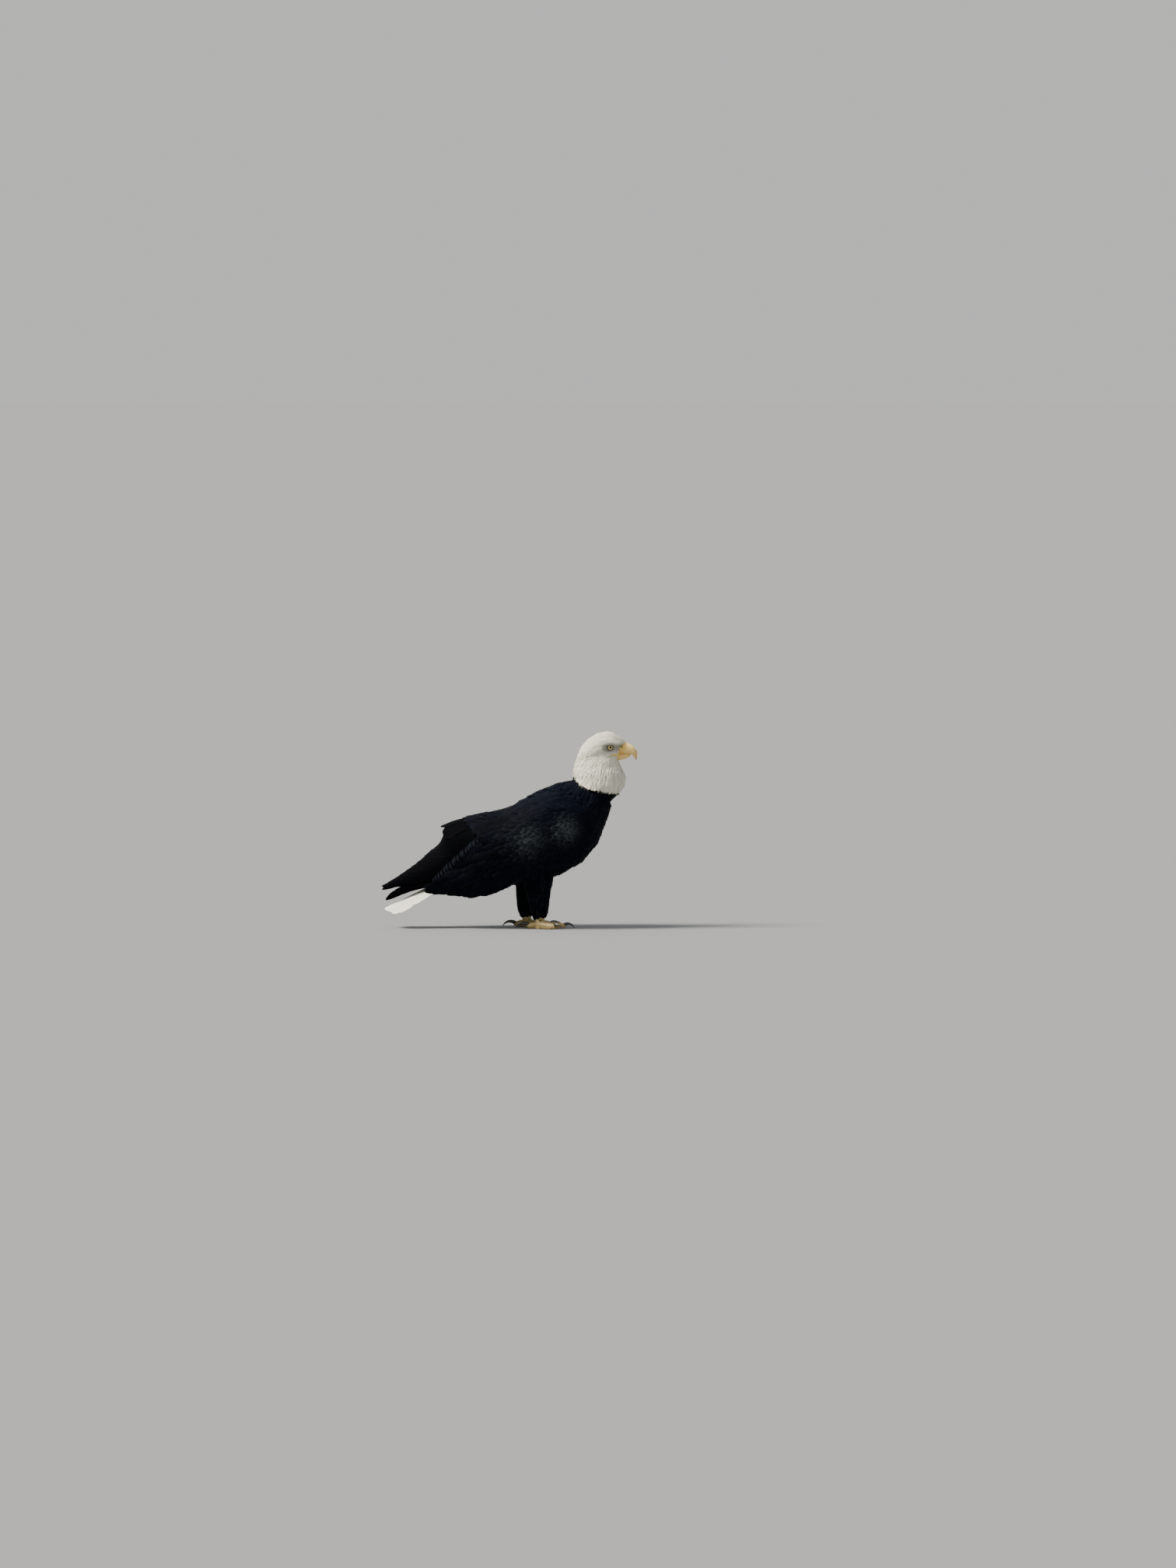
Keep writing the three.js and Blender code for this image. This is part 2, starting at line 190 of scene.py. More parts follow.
def mesh_piece(name, points, quads):
    """A mesh from arrays of points and four-sided faces."""
    mesh = bpy.data.meshes.new(name)
    mesh.vertices.add(len(points))
    mesh.vertices.foreach_set("co", np.asarray(points, np.float32).ravel())
    mesh.loops.add(quads.size)
    mesh.loops.foreach_set("vertex_index", quads.ravel().astype(np.int32))
    mesh.polygons.add(len(quads))
    mesh.polygons.foreach_set("loop_start", np.arange(0, quads.size, 4, dtype=np.int32))
    mesh.update(calc_edges=True)
    mesh.validate()
    piece = bpy.data.objects.new(name, mesh)
    bpy.context.scene.collection.objects.link(piece)
    return piece


def give(piece, name, values, kind="FLOAT"):
    """A value at every point, for the piece's material to read."""
    attribute = piece.data.attributes.new(name, kind, "POINT")
    key = "value" if kind == "FLOAT" else "vector"
    attribute.data.foreach_set(key, np.asarray(values, np.float32).ravel())


# ---------------------------------------------------------------- finding places

def unit(vectors):
    return vectors / np.maximum(np.linalg.norm(vectors, axis=-1, keepdims=True), 1e-12)


def smooth_step(edge0, edge1, value):
    t = np.clip((value - edge0) / (edge1 - edge0), 0, 1)
    return t * t * (3 - 2 * t)


def flattened(runs, normals):
    """Directions laid flat on a surface with these normals."""
    return runs - (runs * normals).sum(1, keepdims=True) * normals


def through(rows, count):
    """Points on the smooth curve through the rows, evenly shared between them."""
    rows = np.asarray(rows, float)
    t = np.linspace(0, len(rows) - 1, count)
    i = np.minimum(t.astype(int), len(rows) - 2)
    f = (t - i)[:, None]
    padded = np.vstack([2 * rows[0] - rows[1], rows, 2 * rows[-1] - rows[-2]])
    a, b, c, d = (padded[i + k] for k in range(4))
    second, third = 2 * a - 5 * b + 4 * c - d, 3 * b - a - 3 * c + d
    return 0.5 * (2 * b + (c - a) * f + second * f**2 + third * f**3)


def ring_quads(rings, sides):
    """The faces between rings of points, from each ring to the next."""
    starts = np.arange(rings - 1)[:, None] * sides
    a, b = starts + np.arange(sides)[None], starts + (np.arange(sides)[None] + 1) % sides
    return np.stack([a, b, b + sides, a + sides], -1).reshape(-1, 4)


def triangles_of(mesh, part="vertices"):
    mesh.calc_loop_triangles()
    flat = np.empty(len(mesh.loop_triangles) * 3, np.int32)
    mesh.loop_triangles.foreach_get(part, flat)
    return flat.reshape(-1, 3)


DOWN = (0, 0, -1)
NEIGHBOURS = list(itertools.product((-1, 0, 1), repeat=3))


class Surface:
    """A form that feathers can be laid on."""

    def __init__(self, points, faces):
        self.points = np.asarray(points, float)
        if faces.shape[1] == 4:
            faces = np.vstack([faces[:, [0, 1, 2]], faces[:, [0, 2, 3]]])
        self.faces = faces
        corners = self.points[self.faces]
        flats = np.cross(corners[:, 1] - corners[:, 0], corners[:, 2] - corners[:, 0])
        self.areas = np.linalg.norm(flats, axis=1) / 2
        normals = np.zeros_like(self.points)
        for k in range(3):
            np.add.at(normals, self.faces[:, k], flats)
        self.normals = unit(normals)
        self.tree = BVHTree.FromPolygons(self.points.tolist(), self.faces.tolist())

    def blend(self, hits, index, values):
        """Values of the points, carried to places on the faces."""
        a, b, c = (self.points[self.faces[index, k]] for k in range(3))
        u, v, w = b - a, c - a, hits - a
        uu, uv, vv = (u * u).sum(1), (u * v).sum(1), (v * v).sum(1)
        wu, wv = (w * u).sum(1), (w * v).sum(1)
        scale = np.maximum(uu * vv - uv * uv, 1e-24)
        s, t = (vv * wu - uv * wv) / scale, (uu * wv - uv * wu) / scale
        shares = np.clip(np.stack([1 - s - t, s, t], 1), 0, 1)
        shares /= shares.sum(1, keepdims=True)
        return sum(values[self.faces[index, k]] * shares[:, k : k + 1] for k in range(3))

    def nearest(self, places):
        found = [self.tree.find_nearest(p) for p in places.tolist()]
        hits = np.array([tuple(f[0]) for f in found]).reshape(-1, 3)
        index = np.array([f[2] for f in found], int)
        return hits, unit(self.blend(hits, index, self.normals)), index

    def along_y(self, places, side):
        """Where a line across the bird, from its side, meets the surface or comes nearest to it."""
        out = np.empty_like(places)
        for k, (x, y, z) in enumerate(places.tolist()):
            hit = self.tree.ray_cast((x, side * 0.5, z), (0, -side, 0))[0]
            if hit is None:
                hit = self.tree.find_nearest((x, side * MM, z))[0]
                hit.y = side * max(side * hit.y, 0.4 * MM)
            out[k] = hit
        return out

    def from_above(self, places):
        """Where a line straight down meets the surface, or comes nearest to it."""
        hits = [
            self.tree.ray_cast((x, y, 1.0), DOWN)[0] or self.tree.find_nearest((x, y, 0.28))[0]
            for x, y, _ in places.tolist()
        ]
        return np.array([tuple(hit) for hit in hits])

    def middles(self):
        return self.points[self.faces].mean(1)

    def scatter(self, allowed, spacing, tries=8):
        """Places about spacing(places) apart, on the faces that are allowed."""
        near = np.maximum(spacing(self.middles()), 1e-4)
        weights = self.areas * allowed / near**2
        count = int(weights.sum() * tries)
        index = rng.choice(len(self.faces), count, p=weights / weights.sum())
        a, b = rng.random((2, count, 1))
        flip = a + b > 1
        a, b = np.where(flip, 1 - a, a), np.where(flip, 1 - b, b)
        first, second, third = (self.points[self.faces[index, k]] for k in range(3))
        places = first + a * (second - first) + b * (third - first)
        room = spacing(places)
        cell = max(float(np.percentile(room, 97)), 1e-4)
        room = np.minimum(room, cell)
        cells, kept = {}, []
        keys = np.floor(places / cell).astype(int)
        for k in range(count):
            x, y, z = keys[k]
            place, square = places[k], room[k] ** 2
            gaps = (place - other for dx, dy, dz in NEIGHBOURS
                    for other in cells.get((x + dx, y + dy, z + dz), ()))
            if not any(g[0] * g[0] + g[1] * g[1] + g[2] * g[2] < square for g in gaps):
                cells.setdefault((x, y, z), []).append(place)
                kept.append(k)
        return places[kept], index[kept]


def piece_surface(piece):
    return Surface(points_of(piece), triangles_of(piece.data))


# ---------------------------------------------------------------- the bird's measures

eye_low, eye_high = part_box("eye_right")
EYE = np.array((eye_low + eye_high) / 2) * (1, -1, 1)  # the left eye's centre
EYE_RADIUS = (eye_high.z - eye_low.z) / 2
AHEAD = EYE[0] / MM - 278  # from the tables' X to the frame's
GAZE_AHEAD = 0.26
# In side view: the lower border of the white neck.
COLLAR = [
    (150, 432), (180, 416), (190, 402), (199, 391), (215, 384.5), (240, 379.5), (280, 372),
    (305, 371), (330, 376),
]
# The outline of the coverts in side view, from the front of the wing over the back.
COVERT_EDGE = [
    (246, 250), (252, 285), (235, 326), (183, 366), (120, 384), (60, 362), (0, 342), (-60, 330),
    (-100, 262), (-198, 140), (-188, 112), (-110, 103), (-68, 100), (-20, 116), (60, 150),
    (150, 180), (222, 212),
]
# Where the white of the rump begins: a place on that plane and its lean in degrees.
RUMP = {"at": (-120, 158), "lean": 65}
# The border between face and cere, x by height.
CERE_EDGE = [
    (455, 296), (466, 298), (478, 300), (490, 302), (500, 304.5), (507, 311), (511, 320), (520, 330),
]


def gaze(side):
    """The way an eye looks: out to its side, a little ahead and up."""
    return unit(np.array([GAZE_AHEAD, side, 0.06]))


def mm(rows):
    """Rows of x, y, z in millimetres as places in the frame."""
    return (np.asarray(rows, float) + (AHEAD, 0, 0)) * MM


def side_view(places):
    """Places' x and z, in the tables' millimetres."""
    return places[:, 0] / MM - AHEAD, places[:, 2] / MM


def above(places, plane):
    """Height over a plane that leans forward, in millimetres."""
    lean = math.radians(plane["lean"])
    x, z = side_view(places)
    return (x - plane["at"][0]) * math.sin(lean) + (z - plane["at"][1]) * math.cos(lean)


def over_collar(places):
    """Height over the border between the white neck and the dark body, in millimetres."""
    x, z = side_view(places)
    return z - np.interp(x, *zip(*COLLAR))


def past_face(places):
    """How far a place lies ahead of the border between face and cere, in millimetres."""
    x, z = side_view(places)
    return np.where(z > 462, x - np.interp(z, *zip(*CERE_EDGE)), -50.0)


# The line that the plumage follows, from the bill over the head, down the neck and along the back.
LIE = [
    (345, 504), (300, 502), (262, 494), (238, 470), (240, 430), (243, 392), (215, 345), (160, 300),
    (100, 260), (35, 224), (-35, 192), (-105, 165), (-165, 143), (-240, 112),
]
lie_points = mm([(x, 0, z) for x, z in through(LIE, 140)])
lie_runs = unit(np.gradient(lie_points, axis=0))
lie_steps = np.linalg.norm(np.diff(lie_points, axis=0), axis=1)
lie_lengths = np.concatenate([[0], np.cumsum(lie_steps)]) / MM


def lie_shares(places):
    flat = places[:, ::2]
    line = lie_points[:, ::2]
    squares = (flat**2).sum(1)[:, None] - 2 * flat @ line.T + (line**2).sum(1)[None]
    gaps = np.sqrt(np.maximum(squares + places[:, 1:2] ** 2, 0))
    shares = np.exp(-(gaps - gaps.min(1, keepdims=True)) / 0.012)
    return shares / shares.sum(1, keepdims=True)


def distance_back(places):
    """How far back from the bill a place is, along the lie, in millimetres."""
    return lie_shares(places) @ lie_lengths


def lie_body(places, normals):
    flat = flattened(lie_shares(places) @ lie_runs, normals)
    weak = np.linalg.norm(flat, axis=1, keepdims=True) < 0.25
    return unit(np.where(weak, flat + 0.5 * flattened(np.array([-0.2, 0, -1.0]), normals), flat))


def lie_leg(places, normals):
    return unit(flattened(np.array([-0.1, 0, -1.0]), normals))


def lie_wing(places, normals):
    """Back along the folded wing, steeper low on the flank."""
    low = np.clip((330 - places[:, 2] / MM - 0.42 * (120 - places[:, 0] / MM)) / 150, 0, 1)
    slope = 0.18 + 0.26 * low
    runs = np.stack([-np.ones(len(places)), np.zeros(len(places)), -slope], 1)
    return unit(flattened(runs, normals))


def whiteness(places):
    """1 where the plumage is white, 0 where it is dark."""
    head = smooth_step(-1.2, 1.2, over_collar(places))
    head *= smooth_step(0.068, 0.062, np.abs(places[:, 1]))
    rump = smooth_step(2.5, -2.5, above(places, RUMP))
    return np.maximum(head, rump)


def lores_grey_and_eye_shade(places):
    """1 in the grey lores and round the eye, 0 elsewhere on the face: the lores' own grey, partly
    painted shade, and round the eye painted shade from the brow.
    """
    side = np.abs(places[:, 1])
    x, z = places[:, 0] - EYE[0], places[:, 2] - EYE[2]
    # Round the eye: painted shade from the brow.
    painted_eye_shade = smooth_step(0.023, 0.010, np.hypot((x + 0.003) * 0.78, (z - 0.001) * 1.25))
    # In front of the eye: the lores' own grey, partly painted shade.
    lores = smooth_step(0.014, 0.004, np.abs(z + 0.003 - 0.08 * x)) * smooth_step(0.0, 0.01, x)
    return np.maximum(painted_eye_shade, 0.85 * lores) * (side > 0.008)


# ---------------------------------------------------------------- skin

FLESH = ["head", "neck", "trunk", "tail_coverts", "thigh_right", "thigh_left"]
WINGS = ["wing_coverts_right", "wing_coverts_left"]


def flesh_surface():
    """The body's solids in one, and the number of the one that each face belongs to."""
    points, faces, labels = [], [], []
    start = 0
    for index, node in enumerate(FLESH + WINGS):
        corners = triangles_of(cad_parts[node].data)
        points.append(points_of(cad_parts[node]))
        faces.append(corners + start)
        labels.append(np.full(len(corners), index))
        start += len(points[-1])
    return Surface(np.vstack(points), np.vstack(faces)), np.concatenate(labels)


solids, solid_labels = flesh_surface()
body_form = Surface(solids.points, solids.faces[solid_labels < len(FLESH)])


def inwards(places):
    """How far behind the coverts' front and upper edge a place is, in side view, in millimetres."""
    line = through(COVERT_EDGE[-1:] + COVERT_EDGE[:7], 60)
    flat = np.stack(side_view(places), 1)
    return np.sqrt(((flat[:, None] - line[None]) ** 2).sum(2).min(1))


def to_be_lowered(places, lift):
    """How far places on the wing sink towards the body near its front and upper edge, so that no
    step is left there: lift is how high they may stand on the edge itself."""
    hits, ups, _ = body_form.nearest(places)
    gaps = ((places - hits) * ups).sum(1) / MM
    behind = inwards(places)
    excess = np.clip(gaps - (lift + 0.28 * behind), 0, 20) * smooth_step(75, 50, behind)
    return ups * excess[:, None] * MM


# The coat's depth by distance back from the bill, and on the thighs, in millimetres.
COAT_DEPTHS = [(0, 0.9), (30, 1.1), (70, 2.2), (120, 3.4), (170, 4.2), (260, 4.8), (700, 5.0)]
THIGH_COAT = 4.5


def coat_depth(places):
    """How far the skin lies under the tips of the feathers."""
    depth = np.interp(distance_back(places), *zip(*COAT_DEPTHS)) * MM
    thigh = smooth_step(0.16, 0.12, places[:, 2])
    return depth * (1 - thigh) + THIGH_COAT * MM * thigh


def keep_largest(shape):
    """Keeps a mesh's largest body: a remesh can leave a small bubble inside."""
    left, bodies = set(shape.verts), []
    while left:
        front, body = [left.pop()], []
        while front:
            vert = front.pop()
            body.append(vert)
            for edge in vert.link_edges:
                other = edge.other_vert(vert)
                if other in left:
                    left.remove(other)
                    front.append(other)
        bodies.append(body)
    bodies.sort(key=len)
    for body in bodies[:-1]:
        bmesh.ops.delete(shape, geom=body, context="VERTS")


# The brow's ridge and the swelling over it: places on the left side, and their radius.
BROW = [
    (312, 13, 505.5, 3.0), (303, 22.5, 506.8, 5.4), (291, 31, 507.4, 6.9), (279, 36, 508.0, 7.0),
    (268, 36.2, 507.6, 5.8), (257, 34.0, 504.5, 4.0), (248, 32, 501, 2.4),
]
BROW_TOP = [
    (302, 13, 508, 4.0), (292, 22, 512, 7.5), (280, 27.5, 514, 10.0), (266, 29.0, 514.5, 10.5),
    (252, 28.0, 512, 9.0), (240, 25, 508, 5.5),
]


def brow_roll(side, line):
    """A bony ridge that hangs over an eye, or the swelling above it that joins it to the crown."""
    rows = through(line, 22) * (1, side, 1, 1)
    centres = mm(rows[:, :3])
    runs = unit(np.gradient(centres, axis=0))
    across = unit(np.cross(runs, (0, 0, 1.0)))
    over = np.cross(across, runs)
    return ring_piece("brow", centres, across, over, rows[:, 3] * MM, rows[:, 3] * MM * 0.9, 14)


def ring_piece(name, centres, across, over, wide, deep, sides, crease=0.0):
    """A closed tube: rings of points round a line of centres, and a crease along it."""
    turn = np.arange(sides) * 2 * math.pi / sides
    pinch = 1 - crease * np.exp(-((1 - np.cos(turn)) / 0.05))
    level = (np.cos(turn) * pinch)[None] * wide[:, None]
    high = np.sin(turn)[None] * deep[:, None]
    grid = centres[:, None] + across[:, None] * level[..., None] + over[:, None] * high[..., None]
    tube = mesh_piece(name, grid.reshape(-1, 3), ring_quads(len(centres), sides))
    return face_outwards(reworked(tube, fill_ends))


def fill_ends(shape):
    bmesh.ops.holes_fill(shape, edges=[edge for edge in shape.edges if edge.is_boundary])


SKIN_VOXEL, FOOT_VOXEL = 3.0 * MM, 1.3 * MM


def make_skin():
    """One skin over head, neck, trunk, rump, thighs and the folded wings' arms."""
    body = copied(FLESH, "skin")
    wings = copied(WINGS, "folded_arms")
    # The arms stop short of the long coverts, which cover the quills by themselves.
    cut = dict(plane_co=mm([(-88, 0, 200)])[0], plane_no=(-0.76, 0, 0.65))
    in_edit(wings, lambda: bpy.ops.mesh.bisect(**cut, clear_outer=True, use_fill=True))
    brows = [brow_roll(side, line) for side in SIDES.values() for line in (BROW, BROW_TOP)]
    skin = joined([body, wings, *brows], "skin")
    finish_with(skin, "DISPLACE", strength=0.0006, mid_level=0)
    finish_with(skin, "REMESH", mode="VOXEL", voxel_size=SKIN_VOXEL, use_smooth_shade=True)
    finish_with(skin, "SMOOTH", factor=0.5, iterations=4)
    points = points_of(skin)
    points = points - normals_of(skin) * coat_depth(points)[:, None]
    points = points - to_be_lowered(points, -4.2)
    # In front of the face's border the skin draws in under the cere.
    y, height = points[:, 1], points[:, 2] / MM
    share = smooth_step(-1.0, 2.5, past_face(points)) * smooth_step(513, 508, height)
    share *= smooth_step(474, 480, height)
    room = 0.0108 * np.sqrt(np.clip(1 - ((height - 494.5) / 18.5) ** 2, 0.05, 1))
    drawn = np.sign(y) * np.minimum(np.abs(y), room)
    points[:, 1] += (drawn - y) * share
    move_points(skin, points)
    finish_with(skin, "SMOOTH", factor=0.5, iterations=2)
    return reworked(skin, keep_largest)


def folds(skin):
    """A roll of skin along the cheek, and creases down the neck."""
    points, normals = points_of(skin), normals_of(skin)
    x, y, z = (points / MM - (AHEAD, 0, 0)).T
    cheek = np.exp(-((z - 474 + 0.1 * (x - 285)) / 4.0) ** 2) * smooth_step(262, 280, x)
    rolls = 0.0006 * cheek * (np.abs(y) > 10)
    creases = 0.0007 * np.sin(z / 5.5 + 0.9 * np.sin(y / 17)) * np.exp(-((z - 428) / 34) ** 2)
    move_points(skin, points + normals * (rolls + creases * (x > 150))[:, None])
    return skin


def eyelids(side):
    """Both lids of an eye: a rolled rim on the eyeball, and a fold out under the face feathers."""
    centre, out = EYE * (1, side, 1), gaze(side)
    ahead = unit(np.array([1.0, -side * GAZE_AHEAD, 0.0]))
    up = np.cross(ahead, out)
    up = unit(up) * np.sign(up[2])
    around = 56
    turn = 2 * math.pi * np.arange(around) / around
    c, s = np.cos(turn), np.sin(turn)
    tilt = s + 0.24 * c  # the upper lid comes down towards the bill
    half = 0.72 - 0.24 * np.maximum(0, tilt) ** 1.2 - 0.05 * np.maximum(0, -tilt) + 0.10 * np.abs(c) ** 5
    flat = ahead * c[:, None] + up * s[:, None]

    def on_ball(lean, height):
        angle = (half + lean)[:, None]
        return centre + (out * np.cos(angle) + flat * np.sin(angle)) * (EYE_RADIUS + height * MM)

    rim = on_ball(0.09, 0.9)
    reach = centre + out * EYE_RADIUS * 0.62 + flat * (EYE_RADIUS * np.sin(half)[:, None] + 4.4 * MM)
    hits, ups, _ = skin_form.nearest(reach)
    edge = hits - ups * 0.4 * MM
    rows = [on_ball(0, -0.2), on_ball(0, 0.25), on_ball(0.03, 0.8), rim]
    for share, lift in ((0.14, 0.15), (0.3, -0.25), (0.46, 0.3), (0.62, 0.25), (0.84, 0.1)):
        rows.append(rim + (edge - rim) * share + out * (lift * MM))
    rows += [edge, edge - out * 2 * MM, rim + (edge - rim) * 0.5 - out * 4 * MM, on_ball(0.15, -1.6)]
    points = np.stack(rows, 1)
    many = points.shape[1]
    a = np.arange(around)[:, None] * many
    b = np.roll(a, -1, axis=0)
    k = np.arange(many)[None]
    n = np.roll(k, -1, axis=1)
    quads = np.stack([a + k, a + n, b + n, b + k], -1).reshape(-1, 4)
    lids = mesh_piece("lids", points.reshape(-1, 3), quads)
    give(lids, "bare", np.tile([1, 1, 1, 0.9, 0.75, 0.6, 0.4, 0.25, 0.1, 0, 0, 0, 1.0], around))
    return smooth(face_outwards(subdivided(lids)), 60)


def unwrapped(skin):
    """A map of the skin, made on a lighter copy: its surface, and the map's place for each face."""
    light = skin.copy()
    light.data = skin.data.copy()
    bpy.context.scene.collection.objects.link(light)
    finish_with(light, "DECIMATE", ratio=0.12)
    in_edit(light, lambda: bpy.ops.uv.smart_project(angle_limit=math.radians(72), island_margin=0.004))
    surface = piece_surface(light)
    flat = np.empty(len(light.data.loops) * 2)
    light.data.uv_layers.active.data.foreach_get("uv", flat)
    places = flat.reshape(-1, 2)[triangles_of(light.data, "loops")].mean(1)
    bpy.data.objects.remove(light)
    return surface, places


skin = make_skin()
skin_form = piece_surface(folds(skin))
unwrap_form, unwrap_places = unwrapped(skin)

# The corner of the mouth, on the left side, from the bill back over the cheek.
GAPE = [
    (316, 7.8, 478.2), (310, 9.8, 478.4), (303, 13.0, 478.4), (296.5, 19.5, 478), (287, 27.5, 476.6),
    (276, 33.5, 473.4),
]


def gape_line(side):
    """Where the corner of the mouth runs over the cheek: its places, and the way out from each."""
    places = mm(through(GAPE, 28) * (1, side, 1))
    hits, ups, _ = skin_form.nearest(places)
    front = smooth_step(297, 303, side_view(places)[0])[:, None]
    outs = unit(ups * (1 - front) + np.array([0.15, side, 0.0]) * front)
    return hits * (1 - front) + places * front, outs


gape_lines = {side: gape_line(side) for side in SIDES.values()}


# ---------------------------------------------------------------- feathers

class Vane:
    """A feather's grid, along it from root to tip and across it from edge to edge. Upper and
    lower faces share the rim, so that each feather is a closed thin leaf."""

    def __init__(self, rows, across):
        self.across = np.array(across, float)
        self.along = np.linspace(0, 1, rows + 1)
        m, n = rows + 1, len(across)
        upper = np.arange(m * n).reshape(m, n)
        lower = upper.copy()
        lower[1:-1, 1:-1] = m * n + np.arange((m - 2) * (n - 2)).reshape(m - 2, n - 2)
        self.inner = upper[1:-1, 1:-1].ravel()
        self.count = m * n + len(self.inner)
        self.quads = np.vstack([self.cells(upper), self.cells(lower)[:, ::-1]])
        self.s, self.c = (
            np.concatenate([grid.ravel(), grid.ravel()[self.inner]])
            for grid in np.meshgrid(self.along, self.across, indexing="ij")
        )
        self.tip = int(np.argmax(self.s - np.abs(self.c)))

    def cells(self, g):
        return np.stack([g[:-1, :-1], g[1:, :-1], g[1:, 1:], g[:-1, 1:]], -1).reshape(-1, 4)


FACE_VANE = Vane(3, (-1, 0, 1))
CROWN_VANE = Vane(4, (-1, -0.4, 0.4, 1))
NECK_VANE = Vane(5, (-1, -0.45, 0.45, 1))
BODY_VANE = Vane(6, (-1, -0.5, 0, 0.5, 1))
GREATER_VANE = Vane(12, (-1, -0.6, -0.1, 0, 0.1, 0.6, 1))
QUILL_VANE = Vane(26, (-1, -0.72, -0.36, -0.07, 0, 0.07, 0.36, 0.72, 1))
SCUTE_VANE = Vane(3, (-1, -0.6, 0, 0.6, 1))
LEAST_HEIGHT = 0.4 * MM  # of a feather over what it lies on


def outline(s, pointed):
    """Half width of a vane at s of its length, from 0 at the root's stalk to 1."""
    body = np.clip(s / 0.34, 0, 1) ** 0.6
    blunt = np.sqrt(np.clip(1 - np.clip((s - 0.62) / 0.44, 0, 1) ** 2.2, 0, 1))
    sharp = np.clip(1 - s, 0, 1) ** 0.62 * 1.25
    end = blunt * (1 - pointed) + np.minimum(sharp, 1) * pointed
    return np.clip(0.16 + 0.84 * body * end, 0.06, 1)


def spread(vane, form, roots, lie, length, width, depth, pointed, stand=1.0, sway=0.10, base=0.2):
    """Lays one vane at each root, along the lie and close over the form. Depth is how high the tips
    stand, base the share of it at the root, and sway how far single vanes turn off the lie."""
    many, rows, cols = len(roots), len(vane.along), len(vane.across)
    place, normal, _ = form.nearest(roots)
    places, normals, runs = [place], [normal], [lie(place, normal)]
    bend = rng.normal(0, sway, many)
    for row in range(1, rows):
        step = (vane.along[row] - vane.along[row - 1]) * length
        side = np.cross(normals[-1], runs[-1])
        ahead = unit(runs[-1] + side * (bend * (0.4 + 0.6 * vane.along[row]))[:, None])
        place, normal, _ = form.nearest(places[-1] + ahead * step[:, None])
        normal = unit(normal + normals[-1])
        run = lie(place, normal)
        places.append(place)
        normals.append(normal)
        runs.append(unit(0.65 * run + 0.35 * runs[-1]))
    grid = np.empty((many, rows, cols, 3))
    up = np.empty_like(grid)
    ragged = rng.normal(0, 1, (many, cols))
    lean = rng.normal(0, 0.12, many)
    rise = np.clip(rng.normal(1, 0.13, many), 0.6, 1.5) * stand
    base = base * (0.8 + 0.4 * rng.random(many))
    camber = 0.10 + 0.05 * rng.random(many)
    middle = [k for k, c in enumerate(vane.across) if c == 0]
    for row in range(rows):
        s = vane.along[row]
        half = outline(s, pointed) * width / 2
        side = unit(np.cross(normals[row], runs[row]))
        flat = []
        for col, c in enumerate(vane.across):
            reach = half * c
            pull = (0.10 * s**3 * (1 - pointed) * width) * c * c - 0.025 * s**4 * length * ragged[:, col]
            flat.append(places[row] + side * reach[:, None] - runs[row] * pull[:, None])
        flat = np.stack(flat, 1)
        hits, ups, _ = form.nearest(flat.reshape(-1, 3))
        hits, ups = hits.reshape(flat.shape), unit(ups.reshape(flat.shape) + normals[row][:, None])
        if middle:
            hits[:, middle[0]], ups[:, middle[0]] = places[row], normals[row]
        for col, c in enumerate(vane.across):
            height = depth * (base + (rise - base) * s) + lean * c * half * s - camber * c * c * half
            grid[:, row, col] = hits[:, col] + ups[:, col] * np.maximum(height, LEAST_HEIGHT)[:, None]
            up[:, row, col] = ups[:, col]
    return closed_leaves(vane, grid, up, np.minimum(0.05 * width, 0.7 * MM))


def closed_leaves(vane, grid, up, thick):
    """Adds the lower faces' points, a little under the upper ones."""
    many = len(grid)
    upper = grid.reshape(many, -1, 3)
    drop = up.reshape(many, -1, 3)[:, vane.inner] * np.broadcast_to(thick, many)[:, None, None]
    return np.concatenate([upper, upper[:, vane.inner] - drop], 1)


class Coat:
    """Feathers gathered into one piece, with the values and the map that go with each."""

    def __init__(self, name):
        self.name, self.total = name, 0
        self.points, self.quads, self.vane, self.tone, self.pale, self.map = ([] for _ in range(6))

    def add(self, vane, leaves, tone, pale, patches, patch=0.0015):
        """Tone and pale are one for all, one for each feather, or one for each of its points."""
        many = len(leaves)
        self.points.append(leaves.reshape(-1, 3))
        starts = self.total + np.arange(many)[:, None, None] * vane.count
        self.quads.append((vane.quads[None] + starts).reshape(-1, 4))
        chance = np.repeat(rng.random(many), vane.count)
        self.vane.append(np.stack([np.tile(vane.c, many), np.tile(vane.s, many), chance], 1))
        for values, gathered in ((tone, self.tone), (pale, self.pale)):
            if np.ndim(values) < 2:
                values = np.broadcast_to(values, many)[:, None]
            gathered.append(np.broadcast_to(values, (many, vane.count)).ravel())
        corner = np.stack([vane.c, vane.s * 2 - 1], 1)[None] * np.asarray(patch)
        self.map.append((patches[:, None] + corner).reshape(-1, 2))
        self.total += many * vane.count

    def piece(self):
        made = mesh_piece(self.name, np.vstack(self.points), np.vstack(self.quads))
        give(made, "vane", np.vstack(self.vane), "FLOAT_VECTOR")
        give(made, "tone", np.concatenate(self.tone))
        give(made, "pale", np.concatenate(self.pale))
        places = np.vstack(self.map)
        loops = np.empty(len(made.data.loops), np.int32)
        made.data.loops.foreach_get("vertex_index", loops)
        layer = made.data.uv_layers.new(name="OFBake")
        layer.data.foreach_set("uv", np.clip(places[loops], 0, 1).astype(np.float32).ravel())
        return smooth(made, 45)


def patches_at(roots):
    """Where feathers go on the map: at their roots' places on the skin's own map."""
    return unwrap_places[unwrap_form.nearest(roots)[2]]


def hidden(form, places, normals, reach=30 * MM):
    """Places that another part of the form covers closely."""
    starts = places + normals * 2 * MM
    return np.array([
        form.tree.ray_cast(p, n, reach)[0] is not None
        for p, n in zip(starts.tolist(), normals.tolist())
    ])


